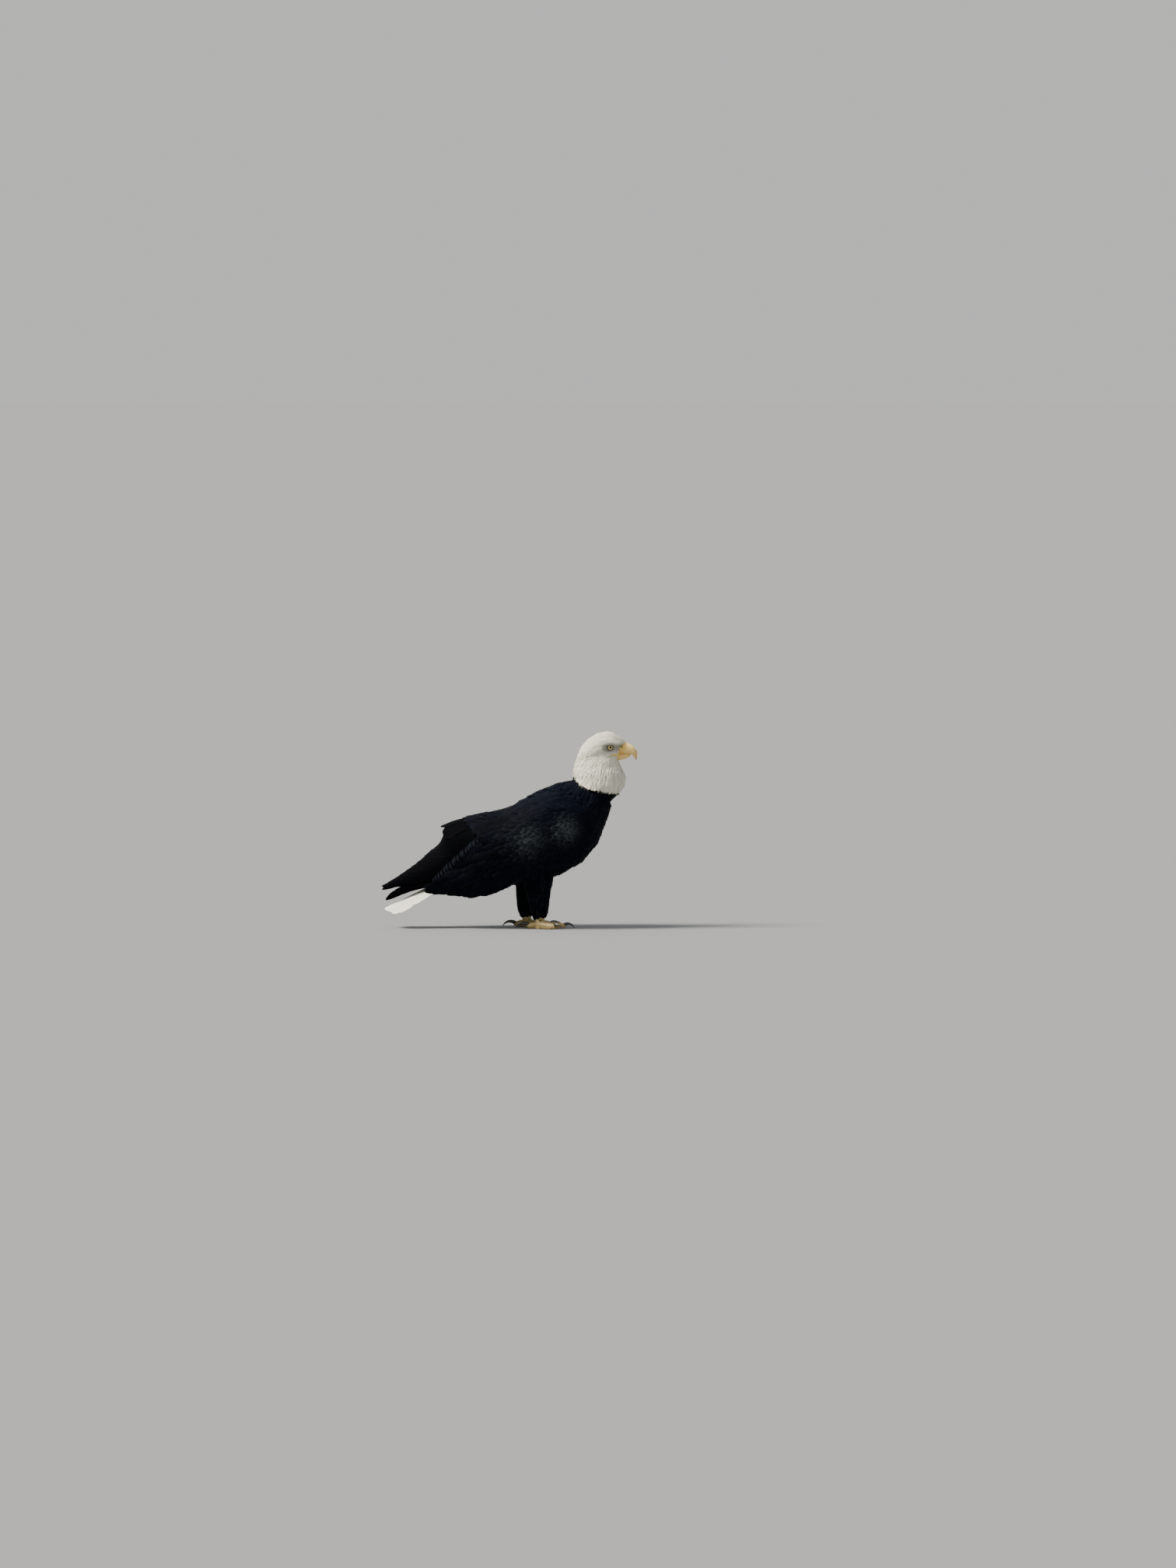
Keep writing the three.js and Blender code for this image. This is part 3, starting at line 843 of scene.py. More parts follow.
# Length and width of the body's feathers, by distance back from the bill, in millimetres.
BACK = [0, 22, 45, 75, 110, 150, 190, 240, 300, 420, 700]
LENGTH = [3.2, 4.0, 6.4, 10, 16.5, 27, 34, 38, 44, 50, 58]
WIDTH = [1.5, 1.8, 2.5, 3.3, 4.3, 5.6, 7.8, 14, 18, 21, 22]


def feather_size(places):
    back = distance_back(places)
    return np.interp(back, BACK, LENGTH) * MM, np.interp(back, BACK, WIDTH) * MM


def tones(leaves):
    """The whiteness of a feather's points, with a ragged border between white and dark, greyed in the
    lores, partly as painted shade, and round the eye as painted shade from the brow.
    """
    ragged = leaves + rng.normal(0, 0.0016, (len(leaves), 1, 3))
    white = whiteness(ragged.reshape(-1, 3)).reshape(leaves.shape[:2])
    # Greyed in the lores and round the eye, where the grey is partly painted shade.
    return white * (1 - 0.55 * lores_grey_and_eye_shade(leaves.reshape(-1, 3)).reshape(leaves.shape[:2]))


def near_eye(places, margin):
    """Places over an eye's opening."""
    inside = np.zeros(len(places), bool)
    for side in SIDES.values():
        out, gap = gaze(side), places - EYE * (1, side, 1)
        along = gap @ out
        off = gap - along[:, None] * out
        flat = np.hypot(off[:, 0], off[:, 1] * 0.9)
        inside |= (np.hypot(flat, off[:, 2] * 1.12) < margin) & (along > -0.004)
    return inside


def near_gape(places, margin):
    """Places over the bare corner of the mouth."""
    line = np.vstack([corner for corner, _ in gape_lines.values()])
    return np.linalg.norm(places[:, None] - line[None], axis=2).min(1) < margin


# Places in FLESH, for the coats to lie on.
HEAD, NECK, TRUNK, TAIL_COVERTS, THIGHS = [0], [1], [2], [3], [4, 5]
THIGH_LENGTHS = [(0.03, 0.022), (0.07, 0.036), (0.2, 0.048)]  # by height, in metres
THIGH_WIDTHS = [(0.03, 0.009), (0.2, 0.017)]


def rump_size(places):
    return np.full(len(places), 64 * MM), np.full(len(places), 21 * MM)


def thigh_size(places):
    return tuple(np.interp(places[:, 2], *zip(*sizes)) for sizes in (THIGH_LENGTHS, THIGH_WIDTHS))


def make_body_coats():
    coats, form = {}, skin_form
    middles = form.middles()
    labels = solid_labels[solids.nearest(middles)[2]]
    back = distance_back(middles)

    def lay(name, vane, wanted, share, pointed, lie=lie_body, size=feather_size, only=1.0, flare=0.0,
            **look):
        """One coat: where its feathers may grow, how close, how pointed, and how far they flare."""
        allowed = np.isin(labels, wanted) * only
        roots, index = form.scatter(allowed, lambda p: share * np.sqrt(np.prod(size(p), axis=0)))
        normals = form.normals[form.faces[index, 0]]
        clear = ~hidden(form, roots, normals)
        if name in ("face", "crown"):
            clear &= ~near_eye(roots, 0.0088) & ~near_gape(roots, 0.0026) & (past_face(roots) < 1.0)
        roots, normals = roots[clear], normals[clear]
        length, width = size(roots)
        vary = np.clip(rng.normal(1, 0.10, len(roots)), 0.75, 1.3)
        length, width = length * vary, width * vary
        over = over_collar(roots) * MM
        to_border = np.maximum(over, 0.006) + 0.001 + 0.004 * rng.random(len(roots))
        length = np.where(over > 0, np.minimum(length, to_border), length)
        behind = np.clip(-normals[:, 0], 0, 1)
        low = smooth_step(0.125, 0.060, roots[:, 2])
        depth = coat_depth(roots) * (1 + flare * (1 + 0.9 * behind) * low)
        leaves = spread(vane, form, roots, lie, length, width, depth, pointed, **look)
        tips = leaves[:, vane.tip]
        free = ~near_eye(tips, 0.0078) & ~near_gape(tips, 0.0020)
        leaves, roots = leaves[free], roots[free]
        tone = tones(leaves)
        if wanted == TRUNK:
            tone[np.abs(roots[:, 1]) > 0.040] = 0
        coats[name] = Coat("coat_" + name)
        coats[name].add(vane, leaves, tone, rng.random(len(roots)) ** 2 * 0.2, patches_at(roots))

    lay("face", FACE_VANE, HEAD, 0.40, 0.45, only=back < 56, sway=0.14, base=0.35)
    lay("crown", CROWN_VANE, HEAD, 0.34, 0.8, only=back >= 56, sway=0.14, stand=1.05, base=0.5)
    lay("neck", NECK_VANE, NECK, 0.31, 0.95, sway=0.15, stand=1.1, base=0.45)
    breast = middles[:, 2] < 0.30 + 0.33 * (middles[:, 0] - 0.20)
    lay("breast", BODY_VANE, TRUNK, 0.36, 0.35, only=breast, sway=0.08)
    lay("back", BODY_VANE, TRUNK, 0.36, 0.35, only=~breast, sway=0.08)
    lay("rump", BODY_VANE, TAIL_COVERTS, 0.34, 0.4, size=rump_size, sway=0.05)
    lay("thighs", BODY_VANE, THIGHS, 0.34, 0.6, lie=lie_leg, size=thigh_size, sway=0.09, flare=1.1)
    return {name: coat.piece() for name, coat in coats.items()}


body_coats = make_body_coats()


# ---------------------------------------------------------------- wings and tail

# The folded wings' outer form: centre x and z, half width, and depth above and below.
FOLDED = [
    (252, 352, 66, 60, 80), (205, 328, 95, 106, 120), (150, 292, 110, 118, 160),
    (90, 255, 115, 120, 170), (30, 222, 112, 119, 158), (-40, 190, 105, 130, 138),
    (-105, 167, 92, 137, 118), (-145, 155, 82, 134, 98), (-168, 149, 76, 92, 86),
    (-205, 138, 65, 77, 72), (-255, 124, 50, 56, 60), (-320, 106, 36, 36, 50), (-366, 96, 28, 26, 44),
]


# The innermost feathers run straight on past the step in that form, as a roof over the rump.
ROOF = FOLDED[:8] + [(-178, 145, 80, 132, 96), (-215, 134, 74, 127, 88)]


def swell(values, power):
    """Turns a circle's cosines or sines into those of a fuller, squarer ring."""
    return np.sign(values) * np.abs(values) ** (2 / power)


def centre_line(stations, rings):
    """Stations with rings between them, their centres in the middle plane, and the way they run."""
    rows = through(stations, rings)
    centres = np.stack([rows[:, 0], np.zeros(rings), rows[:, 1]], 1)
    return rows, centres, unit(np.gradient(centres, axis=0))


def swept_form(stations, rings=90, sides=72):
    """A form swept through stations, for feathers to lie on."""
    rows, centres, runs = centre_line(stations, rings)
    across = np.array([0.0, 1.0, 0.0])
    turn = np.arange(sides) * 2 * math.pi / sides
    c, s = swell(np.cos(turn), FORM_POWER), swell(np.sin(turn), FORM_POWER)
    depth = np.where(s > 0, rows[:, 3:4], rows[:, 4:5])
    points = centres[:, None] + across * (c * rows[:, 2:3])[..., None]
    points = mm((points + np.cross(across, runs)[:, None] * (s * depth)[..., None]).reshape(-1, 3))
    quads = ring_quads(rings, sides)
    form = Surface(points, quads)
    if (form.normals * (form.points - form.points.mean(0))).sum() < 0:
        form = Surface(form.points, quads[:, ::-1])
    return form


FORM_POWER = 2.2
folded_form, roof_form = swept_form(FOLDED), swept_form(ROOF)


def quill_row(count, first, last, root, width, sag, deep):
    """A row of long feathers: the first and last tip in side view, the place they spread from, their
    width and sag, and how deep the first and last of them lie under the coverts, in millimetres."""
    share = np.arange(count) / (count - 1)
    first, last, root = (np.array(place, float) for place in (first, last, root))
    tips = first + (last - first) * share[:, None]
    depths = deep[0] + (deep[1] - deep[0]) * share
    return dict(root=root, tips=tips, width=width, sag=sag, depths=depths)


TERTIALS = quill_row(4, (-178, 266), (-146, 236), (-36, 296), 36, -7, (1.6, 2.8))
SECONDARIES = quill_row(10, (-196, 246), (-240, 202), (10, 240), 42, -4, (3.6, 7.4))
PRIMARIES = quill_row(8, (-247, 199), (-354, 119), (60, 190), 38, 0, (8.0, 12.6))
OUTERMOST = quill_row(2, (-351, 107), (-338, 76), (-110, 116), 23, -24, (12.8, 13.6))
# The two innermost on each side lie flat on the back: x and y of root and tip, width and depth.
INNERMOST = [((-40, 46), (-181, 41), 36, 1.0), ((-40, 17), (-189, 16), 32, 0.2)]


def long_vane(root, tip, width, sag, vane, narrow=0.42, notch=0.0):
    """A long feather's grid in side view: nearly parallel edges and a round tip. Narrow is how much
    one web is slimmer than the other, and notch how deep the nicks in its edges are."""
    run = (tip - root) / np.linalg.norm(tip - root)
    side = np.array([-run[1], run[0]])
    s, c = np.meshgrid(vane.along, vane.across, indexing="ij")
    s = np.sin(s * math.pi / 2) ** 0.9
    rounded = np.sqrt(np.clip(1 - np.clip((s - 0.80) / 0.2, 0, 1) ** 2.4, 0, 1))
    half = np.maximum(width / 2 * np.minimum(1, 0.45 + s) * rounded, 0.04 * width)
    blade = np.where(c > 0, 1.0 - narrow * 0.5, 1.0 + narrow * 0.5) * c
    nicks = 1 - notch * (rng.random(s.shape) < 0.07) * (np.abs(c) > 0.9) * (s > 0.4)
    bend = sag * 4 * s * (1 - s)
    return root + (tip - root) * s[..., None] + side * (bend + blade * half * nicks)[..., None], s


def lay_quill(form, flat, side, deep, vane, tip_lift, thick=0.7 * MM, ridge=0.7, from_above=False):
    """Lays a long feather's grid on the form, from its side or from above: deep under it at the root,
    with a lifted tip and a shaft that stands out along the middle."""
    places = np.zeros((*flat.shape[:2], 3))
    places[..., 0] = flat[..., 0]
    places[..., 1 if from_above else 2] = flat[..., 1] * (side if from_above else 1)
    places = mm(places.reshape(-1, 3))
    hits = form.from_above(places) if from_above else form.along_y(places, side)
    ups = form.nearest(hits)[1].reshape(*flat.shape[:2], 3)
    hits = hits.reshape(*flat.shape[:2], 3)
    ups = unit(ups * (1, 1, 1.0 if from_above else 0.4))
    s, c = vane.along[:, None], vane.across[None]
    height = -deep + tip_lift * s**3 - 0.45 * c * c * (1 - 0.4 * s) + ridge * (c == 0) * (1 - 0.7 * s)
    height = height - 3.0 * np.clip(1 - s / 0.25, 0, 1)
    grid = laid_down(hits + ups * (height * MM)[..., None])
    grid[..., 1] = side * np.maximum(side * grid[..., 1] - WING_INSET, 0.1 * MM)
    return closed_leaves(vane, grid[None], ups[None], np.array([thick]))


def laid_down(grid):
    """Feathers lowered with the wing's front edge."""
    forms, _, _ = folded_form.nearest(grid.reshape(-1, 3))
    return grid - to_be_lowered(forms, 0.4).reshape(grid.shape)


WING_INSET = 1.2 * MM  # brings the two wings' tips together over the tail


def strips(count):
    """Long patches side by side on the unit square, one for each long feather."""
    for k in range(count):
        yield np.array([[(k + 0.5) / count, 0.5]]), (0.46 / count, 0.48)


def outwards_leaves(coat):
    """Turns every closed leaf's faces outwards: a leaf laid on the other flank is inside out."""
    return in_edit(coat.piece(), turn_outwards)


def make_quills():
    pieces, vane = {}, QUILL_VANE
    rows = {"secondaries": [SECONDARIES, TERTIALS], "primaries": [OUTERMOST, PRIMARIES]}
    for side_name, side in SIDES.items():
        for name, groups in rows.items():
            coat = Coat(f"{name}_vanes_{side_name}")
            patches = strips(sum(len(group["tips"]) for group in groups) + len(INNERMOST))
            for group in groups:
                form = roof_form if group is TERTIALS else folded_form
                for tip, deep in zip(group["tips"], group["depths"]):
                    tip = tip + rng.normal(0, 1.2, 2)
                    flat, _ = long_vane(group["root"], tip, group["width"], group["sag"], vane,
                                        notch=0.08)
                    leaf = lay_quill(form, flat, side, deep + 1.0, vane, rng.normal(0.8, 0.5))
                    coat.add(vane, leaf, 0.0, 0.22, *next(patches))
            for root, tip, width, deep in INNERMOST if name == "secondaries" else []:
                flat, _ = long_vane(np.array(root, float), tip + rng.normal(0, 0.8, 2), width, 0, vane)
                leaf = lay_quill(roof_form, flat, side, deep, vane, 0.3, from_above=True)
                coat.add(vane, leaf, 0.0, 0.2, *next(patches))
            pieces[coat.name] = outwards_leaves(coat)
    return pieces


quill_pieces = make_quills()

TAIL = dict(length=276, feathers=12, width=40, slope=26.5, arch=86, root=(-95, 177))


def tail_place(x, y, drop):
    """A place on the arched tail: x back along it, y across, drop under its top, in millimetres."""
    arch, lean, turn = TAIL["arch"], math.radians(TAIL["slope"]), y / TAIL["arch"]
    c, s, high = math.cos(lean), math.sin(lean), (arch - drop) * np.cos(turn) - arch
    sloped = np.stack([x * c - high * s, (arch - drop) * np.sin(turn), x * s + high * c], -1)
    return mm(sloped + (TAIL["root"][0], 0, TAIL["root"][1]))


def make_tail():
    coat = Coat("tail_vanes")
    vane, count = QUILL_VANE, TAIL["feathers"]
    # The outer feathers lie lowest, so they come first.
    shares = sorted((2 * i / (count - 1) - 1 for i in range(count)), key=lambda share: -abs(share))
    for share, patch in zip(shares, strips(count)):
        root = np.array([0.0, share * 15])
        tip = np.array([-TAIL["length"] * (1 - 0.05 * share**2) + rng.normal(0, 1.5), share * 52])
        flat, s = long_vane(root, tip, TAIL["width"], 0, vane, narrow=0.3 * np.sign(share), notch=0.15)
        c = vane.across[None]
        drop = 0.6 + 3.6 * abs(share) + 0.7 * c * c - 0.6 * (c == 0) * (1 - 0.6 * s) - 0.9 * s**3
        grid = tail_place(flat[..., 0], flat[..., 1], drop)
        ups = unit(tail_place(flat[..., 0], flat[..., 1], drop - 1) - grid)
        leaf = closed_leaves(vane, grid[None], ups[None], np.array([0.8 * MM]))
        coat.add(vane, leaf, 1.0, 0.2, *patch)
    return outwards_leaves(coat)


tail_piece = make_tail()


def inside_outline(places, outline_points):
    """Places within a closed outline in side view."""
    x, z = side_view(places)
    inside = np.zeros(len(places), bool)
    for (x0, z0), (x1, z1) in zip(outline_points, outline_points[1:] + outline_points[:1]):
        crosses = (z0 > z) != (z1 > z)
        at = x0 + (z - z0) * (x1 - x0) / (z1 - z0 if z1 != z0 else 1e-9)
        inside ^= crosses & (x < at)
    return inside


def covert_size(places):
    x, z = side_view(places)
    back, high = np.clip((230 - x) / 330, 0, 1), np.clip((z - 300) / 60, 0, 1)
    length = 23 + 34 * back**0.9 + 22 * high
    return length * MM, (10.5 + 13 * back + 11 * high) * MM


# How far back the roots of the small coverts reach, x by height.
COVERTS_BACK = [(110, -214), (136, -178), (166, -104), (235, -18), (262, -54), (300, -66)]

# Where the plumage is painted paler as sheen: places on the flank, their reach in millimetres and their
# strength.
PAINTED_SHEEN_PATCHES = [(152, 272, 30, 1.9), (49, 243, 38, 1.0), (-20, 250, 30, 0.12)]


# The greater coverts' two rows: how many, the first and last tip, length, width, depth and paleness.
GREATER_COVERTS = [
    (19, (-76, 258), (-208, 130), 98, 27, 1.0, 0.55),
    (15, (-54, 264), (-168, 122), 84, 25, -0.6, 0.10),
]


def painted_sheen_patches(places):
    x, z = side_view(places)
    return sum(w * np.exp(-(((x - a) / r) ** 2 + ((z - b) / r) ** 2)) for a, b, r, w in PAINTED_SHEEN_PATCHES)


def small_coverts(coat, side):
    """Small coverts all over the folded arm."""
    middles = folded_form.middles()
    x, z = side_view(middles)
    allowed = inside_outline(middles, COVERT_EDGE) & (middles[:, 1] * side > -MM)
    allowed &= x > np.interp(z, *zip(*COVERTS_BACK))
    roots, _ = folded_form.scatter(allowed, lambda p: 0.36 * np.sqrt(np.prod(covert_size(p), axis=0)))
    length, width = covert_size(roots)
    vary = np.clip(rng.normal(1, 0.08, len(roots)), 0.8, 1.25)
    leaves = laid_down(spread(BODY_VANE, folded_form, roots, lie_wing, length * vary, width * vary,
                              np.full(len(roots), 3.6 * MM), 0.35, sway=0.06))
    pale = 0.02 + 0.08 * rng.random(len(roots)) ** 2
    # Paler in patches: painted sheen over the small coverts.
    pale += painted_sheen_patches(leaves[:, BODY_VANE.tip]) * (0.8 + 0.2 * rng.random(len(roots)))
    coat.add(BODY_VANE, leaves, 0.0, pale, patches_at(roots))


def greater_coverts(coat, side, count, first, last, length, width, deep, light):
    """A row of long coverts over the quills' roots, paler at their tips."""
    vane, first, last = GREATER_VANE, np.array(first), np.array(last)
    for i in range(count):
        share = i / (count - 1)
        tip = first + (last - first) * share
        root = tip + (length * 0.96, length * (0.08 + 0.30 * share))
        flat, _ = long_vane(root, tip + rng.normal(0, 1.5, 2), width, -2, vane)
        leaf = lay_quill(folded_form, flat, side, deep + 1.2 * (1 - share), vane, 1.2,
                         thick=0.6 * MM, ridge=0.3)
        pale = light * smooth_step(0.74, 0.88, vane.s) * (0.85 + 0.3 * rng.random())
        coat.add(vane, leaf, 0.0, pale[None], patches_at(mm([(root[0], side * 90, root[1])])))


def make_coverts():
    pieces = {}
    for side_name, side in SIDES.items():
        coat = Coat(f"coverts_{side_name}")
        small_coverts(coat, side)
        for row in GREATER_COVERTS:
            greater_coverts(coat, side, *row)
        pieces[coat.name] = outwards_leaves(coat)
    return pieces


covert_pieces = make_coverts()


# ---------------------------------------------------------------- bill, cere, gape and eyes

# Bills: centre x and z, half width, and depth above and below, from the tip back.
BILL = [
    (351.5, 461.5, 0.7, 0.8, 0.8), (350.6, 466, 2.4, 3.0, 2.2), (349.4, 471.5, 4.2, 5.2, 4.2),
    (345, 481.5, 7.2, 10.2, 8.0), (338, 487.5, 9.2, 13.0, 10.6), (331, 491, 10.3, 14.8, 12.6),
    (319, 494, 11.5, 16.5, 15.0), (305, 495, 12.5, 17.5, 16.2), (290, 495, 12.5, 16, 16),
]
LOWER_BILL = [
    (336, 475.6, 1.6, 2.2, 1.6), (330, 474.6, 4.8, 6.3, 4.6), (317, 473, 8.6, 8.3, 8.6),
    (303, 472, 12.2, 8.2, 10.4), (293, 473, 11.6, 8, 8.6), (280, 474.5, 7.5, 6, 5),
]
NOSTRIL = (311.5, 13.0, 499.5)
NOSTRIL_SIZE = (1.7 * MM, 5.2 * MM, 3.8 * MM)
BILL_POWER = 2.3


def drawn_form(name, rings, sides):
    """A bar drawn out ring by ring from a disc, a millimetre apart."""
    rest_selection()
    bpy.ops.mesh.primitive_circle_add(
        vertices=sides, radius=MM, fill_type="NGON", rotation=(0, math.pi / 2, 0))
    piece = named(name)
    bpy.ops.object.mode_set(mode="EDIT")
    bpy.ops.mesh.select_all(action="SELECT")
    for _ in range(rings - 1):
        bpy.ops.mesh.extrude_region_move(TRANSFORM_OT_translate={"value": (MM, 0, 0)})
    bpy.ops.object.mode_set(mode="OBJECT")
    return settle(piece)


def shaped(piece, stations, rings, power, grow=0.0, keel=0.0):
    """Moves a bar's rings onto the stations, with a keel along the top and a little more girth."""
    rows, centres, runs = centre_line(stations, rings)
    points = points_of(piece)
    ring = np.clip(np.round(points[:, 0] / MM).astype(int), 0, rings - 1)
    turn = np.arctan2(points[:, 2], points[:, 1])
    out = np.clip(np.hypot(points[:, 1], points[:, 2]) / MM, 0, 1)
    c, s = swell(np.cos(turn), power), swell(np.sin(turn), power)
    across = np.array([0.0, 1.0, 0.0])
    over = np.cross(across, runs)
    over = over * np.sign(over[:, 2:3] + 1e-9)
    depth = np.where(s > 0, rows[ring, 3], rows[ring, 4]) + grow
    depth = depth * (1 + keel * np.clip(s, 0, 1) ** 8)
    wide = rows[ring, 2] + grow
    wide = wide * (1 - 0.18 * np.clip(s, 0, 1) ** 3)
    moved = centres[ring] + across * (out * c * wide)[:, None] + over[ring] * (out * s * depth)[:, None]
    move_points(piece, mm(moved))
    return piece


def bill_piece(name, stations, rings, sides, grow=0.0, keel=0.0):
    bar = drawn_form(name, rings, sides)
    return face_outwards(shaped(bar, stations, rings, BILL_POWER, grow, keel))


def stations_between(stations, start, end, count=9):
    """The part of a row of stations whose centres lie from x = start back to x = end."""
    rows = through(stations, 200)
    rows = rows[(rows[:, 0] <= start) & (rows[:, 0] >= end)]
    return rows[np.linspace(0, len(rows) - 1, count).astype(int)]


def turned_in(piece, points, edge, past, share):
    """Draws points past a bill's cutting edge most of the way back to it, and rounds the piece."""
    points[past, 2] += (edge - points[:, 2] / MM)[past] * share * MM
    move_points(piece, points)
    return subdivided(piece)


def make_bill():
    upper = bill_piece("bill_upper", BILL, 34, 28, keel=0.03)
    points = points_of(upper)
    x, z = side_view(points)
    # The cutting edge has a shallow tooth behind the hook.
    edge = 478.2 - 0.02 * (x - 300) + 1.3 * np.exp(-((x - 330) / 6) ** 2)
    turned_in(upper, points, edge, (z < edge) & (x < 341), 0.72)

    cere = bill_piece("cere_skin", stations_between(BILL, 320.5, 291), 16, 28, grow=0.9, keel=0.02)
    points = points_of(cere)
    x, z = side_view(points)
    centre = mm(np.stack([x, 0 * x, np.full_like(x, 495)], 1))
    # A swollen front border, which draws in to the horn.
    girth = 1 + 0.045 * np.exp(-((x - 317.5) / 3.2) ** 2) - 0.10 * smooth_step(319.4, 320.6, x)
    points = centre + (points - centre) * np.stack([np.ones_like(girth), girth, girth], 1)
    x, z = side_view(points)
    edge = 477.9 - 0.02 * (x - 300)
    turned_in(cere, points, edge, z < edge, 0.8)
    for side in SIDES.values():
        rest_selection()
        bpy.ops.mesh.primitive_uv_sphere_add(
            segments=24, ring_count=16, radius=1, rotation=(0, math.radians(-38), 0),
            location=mm([NOSTRIL])[0] * (1, side, 1))
        bpy.context.object.scale = NOSTRIL_SIZE
        nostril = settle(named("nostril_tool"))
        for piece in (cere, upper):
            finish_with(piece, "BOOLEAN", operation="DIFFERENCE", object=nostril, solver="EXACT")
        bpy.data.objects.remove(nostril)

    lower = bill_piece("bill_lower", LOWER_BILL, 20, 24)
    points = points_of(lower)
    x, z = side_view(points)
    edge = 479.4 - 0.02 * (x - 300)
    turned_in(lower, points, edge, z > edge, 0.85)
    return {"bill_upper": upper, "cere_skin": cere, "bill_lower": lower}


def make_gape():
    """The yellow corner of the mouth: a soft roll on each cheek, from the bill to under the eye."""
    rolls = []
    for side in SIDES.values():
        places, ups = gape_lines[side]
        runs = unit(np.gradient(places, axis=0))
        outs = unit(flattened(ups, runs))
        t = np.linspace(0, 1, len(places))
        thick = (0.3 + 1.9 * smooth_step(0, 0.6, t) * np.sqrt(np.clip((1 - t) * 2.6, 0, 1))) * MM
        rolls.append(ring_piece("gape", places + outs * 1.4 * MM, outs, np.cross(runs, outs),
                                thick * 0.85, thick * 1.2, 24, crease=0.42))
    return face_outwards(joined(rolls, "gape"))


def make_eye(side_name):
    side = SIDES[side_name]
    rest_selection()
    bpy.ops.mesh.primitive_uv_sphere_add(
        segments=48, ring_count=32, radius=EYE_RADIUS, location=(0, 0, 0))
    eye = settle(named(f"eyeball_{side_name}"))
    points = points_of(eye)
    # The clear front bulges a little over the iris.
    lean = np.arccos(np.clip(points[:, 2] / EYE_RADIUS, -1, 1))
    points *= (1 + 0.045 * smooth_step(0.62, 0.2, lean))[:, None]
    turn = np.array(Vector(gaze(side)).to_track_quat("Z", "Y").to_matrix())
    move_points(eye, points @ turn.T + EYE * (1, side, 1))
    return smooth(eye, 180)


bill_pieces = make_bill()
gape_piece = make_gape()
eyes = {side: make_eye(side) for side in SIDES}
lids_piece = joined([eyelids(side) for side in SIDES.values()], "eyelids")


# ---------------------------------------------------------------- feet

STANCE = 54  # from the middle plane to a foot's middle, in millimetres
TOE_LEVEL = 9.5  # the height of the toes' middle lines
PLATE_STEP = 5.4
TOP_OF_FOOT = 30
# Each toe: its heading from straight ahead in degrees, its offset across, its length and radius, and
# its claw's chord and radius.
TOES = [
    dict(name="middle", heading=2, offset=0, length=68, radius=8.8, claw=(31, 5.4)),
    dict(name="inner", heading=34, offset=8.5, length=47, radius=9, claw=(35, 6)),
    dict(name="outer", heading=-36, offset=-8.5, length=50, radius=8, claw=(27, 5)),
    dict(name="hind", heading=174, offset=3, length=36, radius=9.2, claw=(38, 6.4)),
]


def foot_x(side_name):
    low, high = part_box(f"tarsus_{side_name}")
    return (low.x + high.x) / 2


def heading(toe):
    turn = math.radians(toe["heading"])
    return math.cos(turn), math.sin(turn)


def tapered(points, toe, x, side):
    """Draws a toe's end in round the root of its claw."""
    c, s = heading(toe)
    u, v = points[:, 0] - x, -side * points[:, 1] - (toe["offset"] - STANCE) * MM
    ahead, across = (u * c + v * s) / MM, -u * s + v * c
    mine = (ahead > 0.5 * toe["length"]) & (np.abs(across) < 1.4 * toe["radius"] * MM)
    share = np.where(mine, smooth_step(toe["length"] - 15, toe["length"] + 1, ahead), 0)
    across = across * (1 - 0.42 * share)
    u, v = ahead * MM * c - across * s, ahead * MM * s + across * c
    level = TOE_LEVEL * MM
    height = level + (points[:, 2] - level) * (1 - 0.34 * share)
    return np.stack([u + x, -side * (v + (toe["offset"] - STANCE) * MM), height], 1)


def foot_nodes(side_name):
    return [f"tarsus_{side_name}"] + [f"toe_{toe['name']}_{side_name}" for toe in TOES]


def make_foot(side_name):
    """Shank, pad and toes under one scaly skin."""
    foot = copied(foot_nodes(side_name), f"foot_{side_name}")
    finish_with(foot, "DISPLACE", strength=0.5 * MM, mid_level=0)
    finish_with(foot, "REMESH", mode="VOXEL", voxel_size=FOOT_VOXEL, use_smooth_shade=True)
    finish_with(foot, "SMOOTH", factor=0.5, iterations=6)
    points = points_of(reworked(foot, keep_largest))
    x, side = foot_x(side_name), SIDES[side_name]
    for toe in TOES:
        points = tapered(points, toe, x, side)
    points[:, 2] = np.maximum(points[:, 2], 0.0)
    move_points(foot, points)
    return foot


def claw_line(toe):
    """A claw's arc from its point back into the toe: stations of a form, in millimetres."""
    (chord, radius), length = toe["claw"], toe["length"]
    clearance, rise = 0.8, math.radians(40)
    bend = chord / 1.62
    fall = -math.acos(math.cos(rise) - (TOE_LEVEL - clearance) / bend)
    t = np.linspace(0, 1, 9)
    angle = fall + (rise - fall) * t
    thick = radius * np.maximum(0.06, t**0.72)
    x = length - 4 + bend * (math.sin(rise) - np.sin(angle)) - AHEAD
    z = TOE_LEVEL + bend * (np.cos(angle) - math.cos(rise))
    return np.stack([x, z, thick * 0.80, thick, thick * 0.92], 1)


def off_floor(points, least):
    points[..., 2] = np.maximum(points[..., 2], least)
    return points


def make_claws(side_name):
    claws, side, x = [], SIDES[side_name], foot_x(side_name)
    for toe in TOES:
        claw = shaped(drawn_form("claw", 18, 14), claw_line(toe), 18, 2.0)
        points, (c, s) = points_of(claw), heading(toe)
        px, py = points[:, 0].copy(), points[:, 1].copy()
        points[:, 0] = px * c - py * s + x
        points[:, 1] = -side * (px * s + py * c + (toe["offset"] - STANCE) * MM)
        move_points(claw, off_floor(points, 0.4 * MM))
        subdivided(claw)
        move_points(claw, off_floor(points_of(claw), 0.4 * MM))
        claws.append(claw)
    return smooth(face_outwards(joined(claws, f"claws_{side_name}")), 60)


def foot_patches(places):
    """Where scales go on the map: by their places, seen from above."""
    low, high = places.min(0) - 0.01, places.max(0) + 0.01
    return 0.02 + 0.96 * ((places - low) / (high - low))[:, :2]


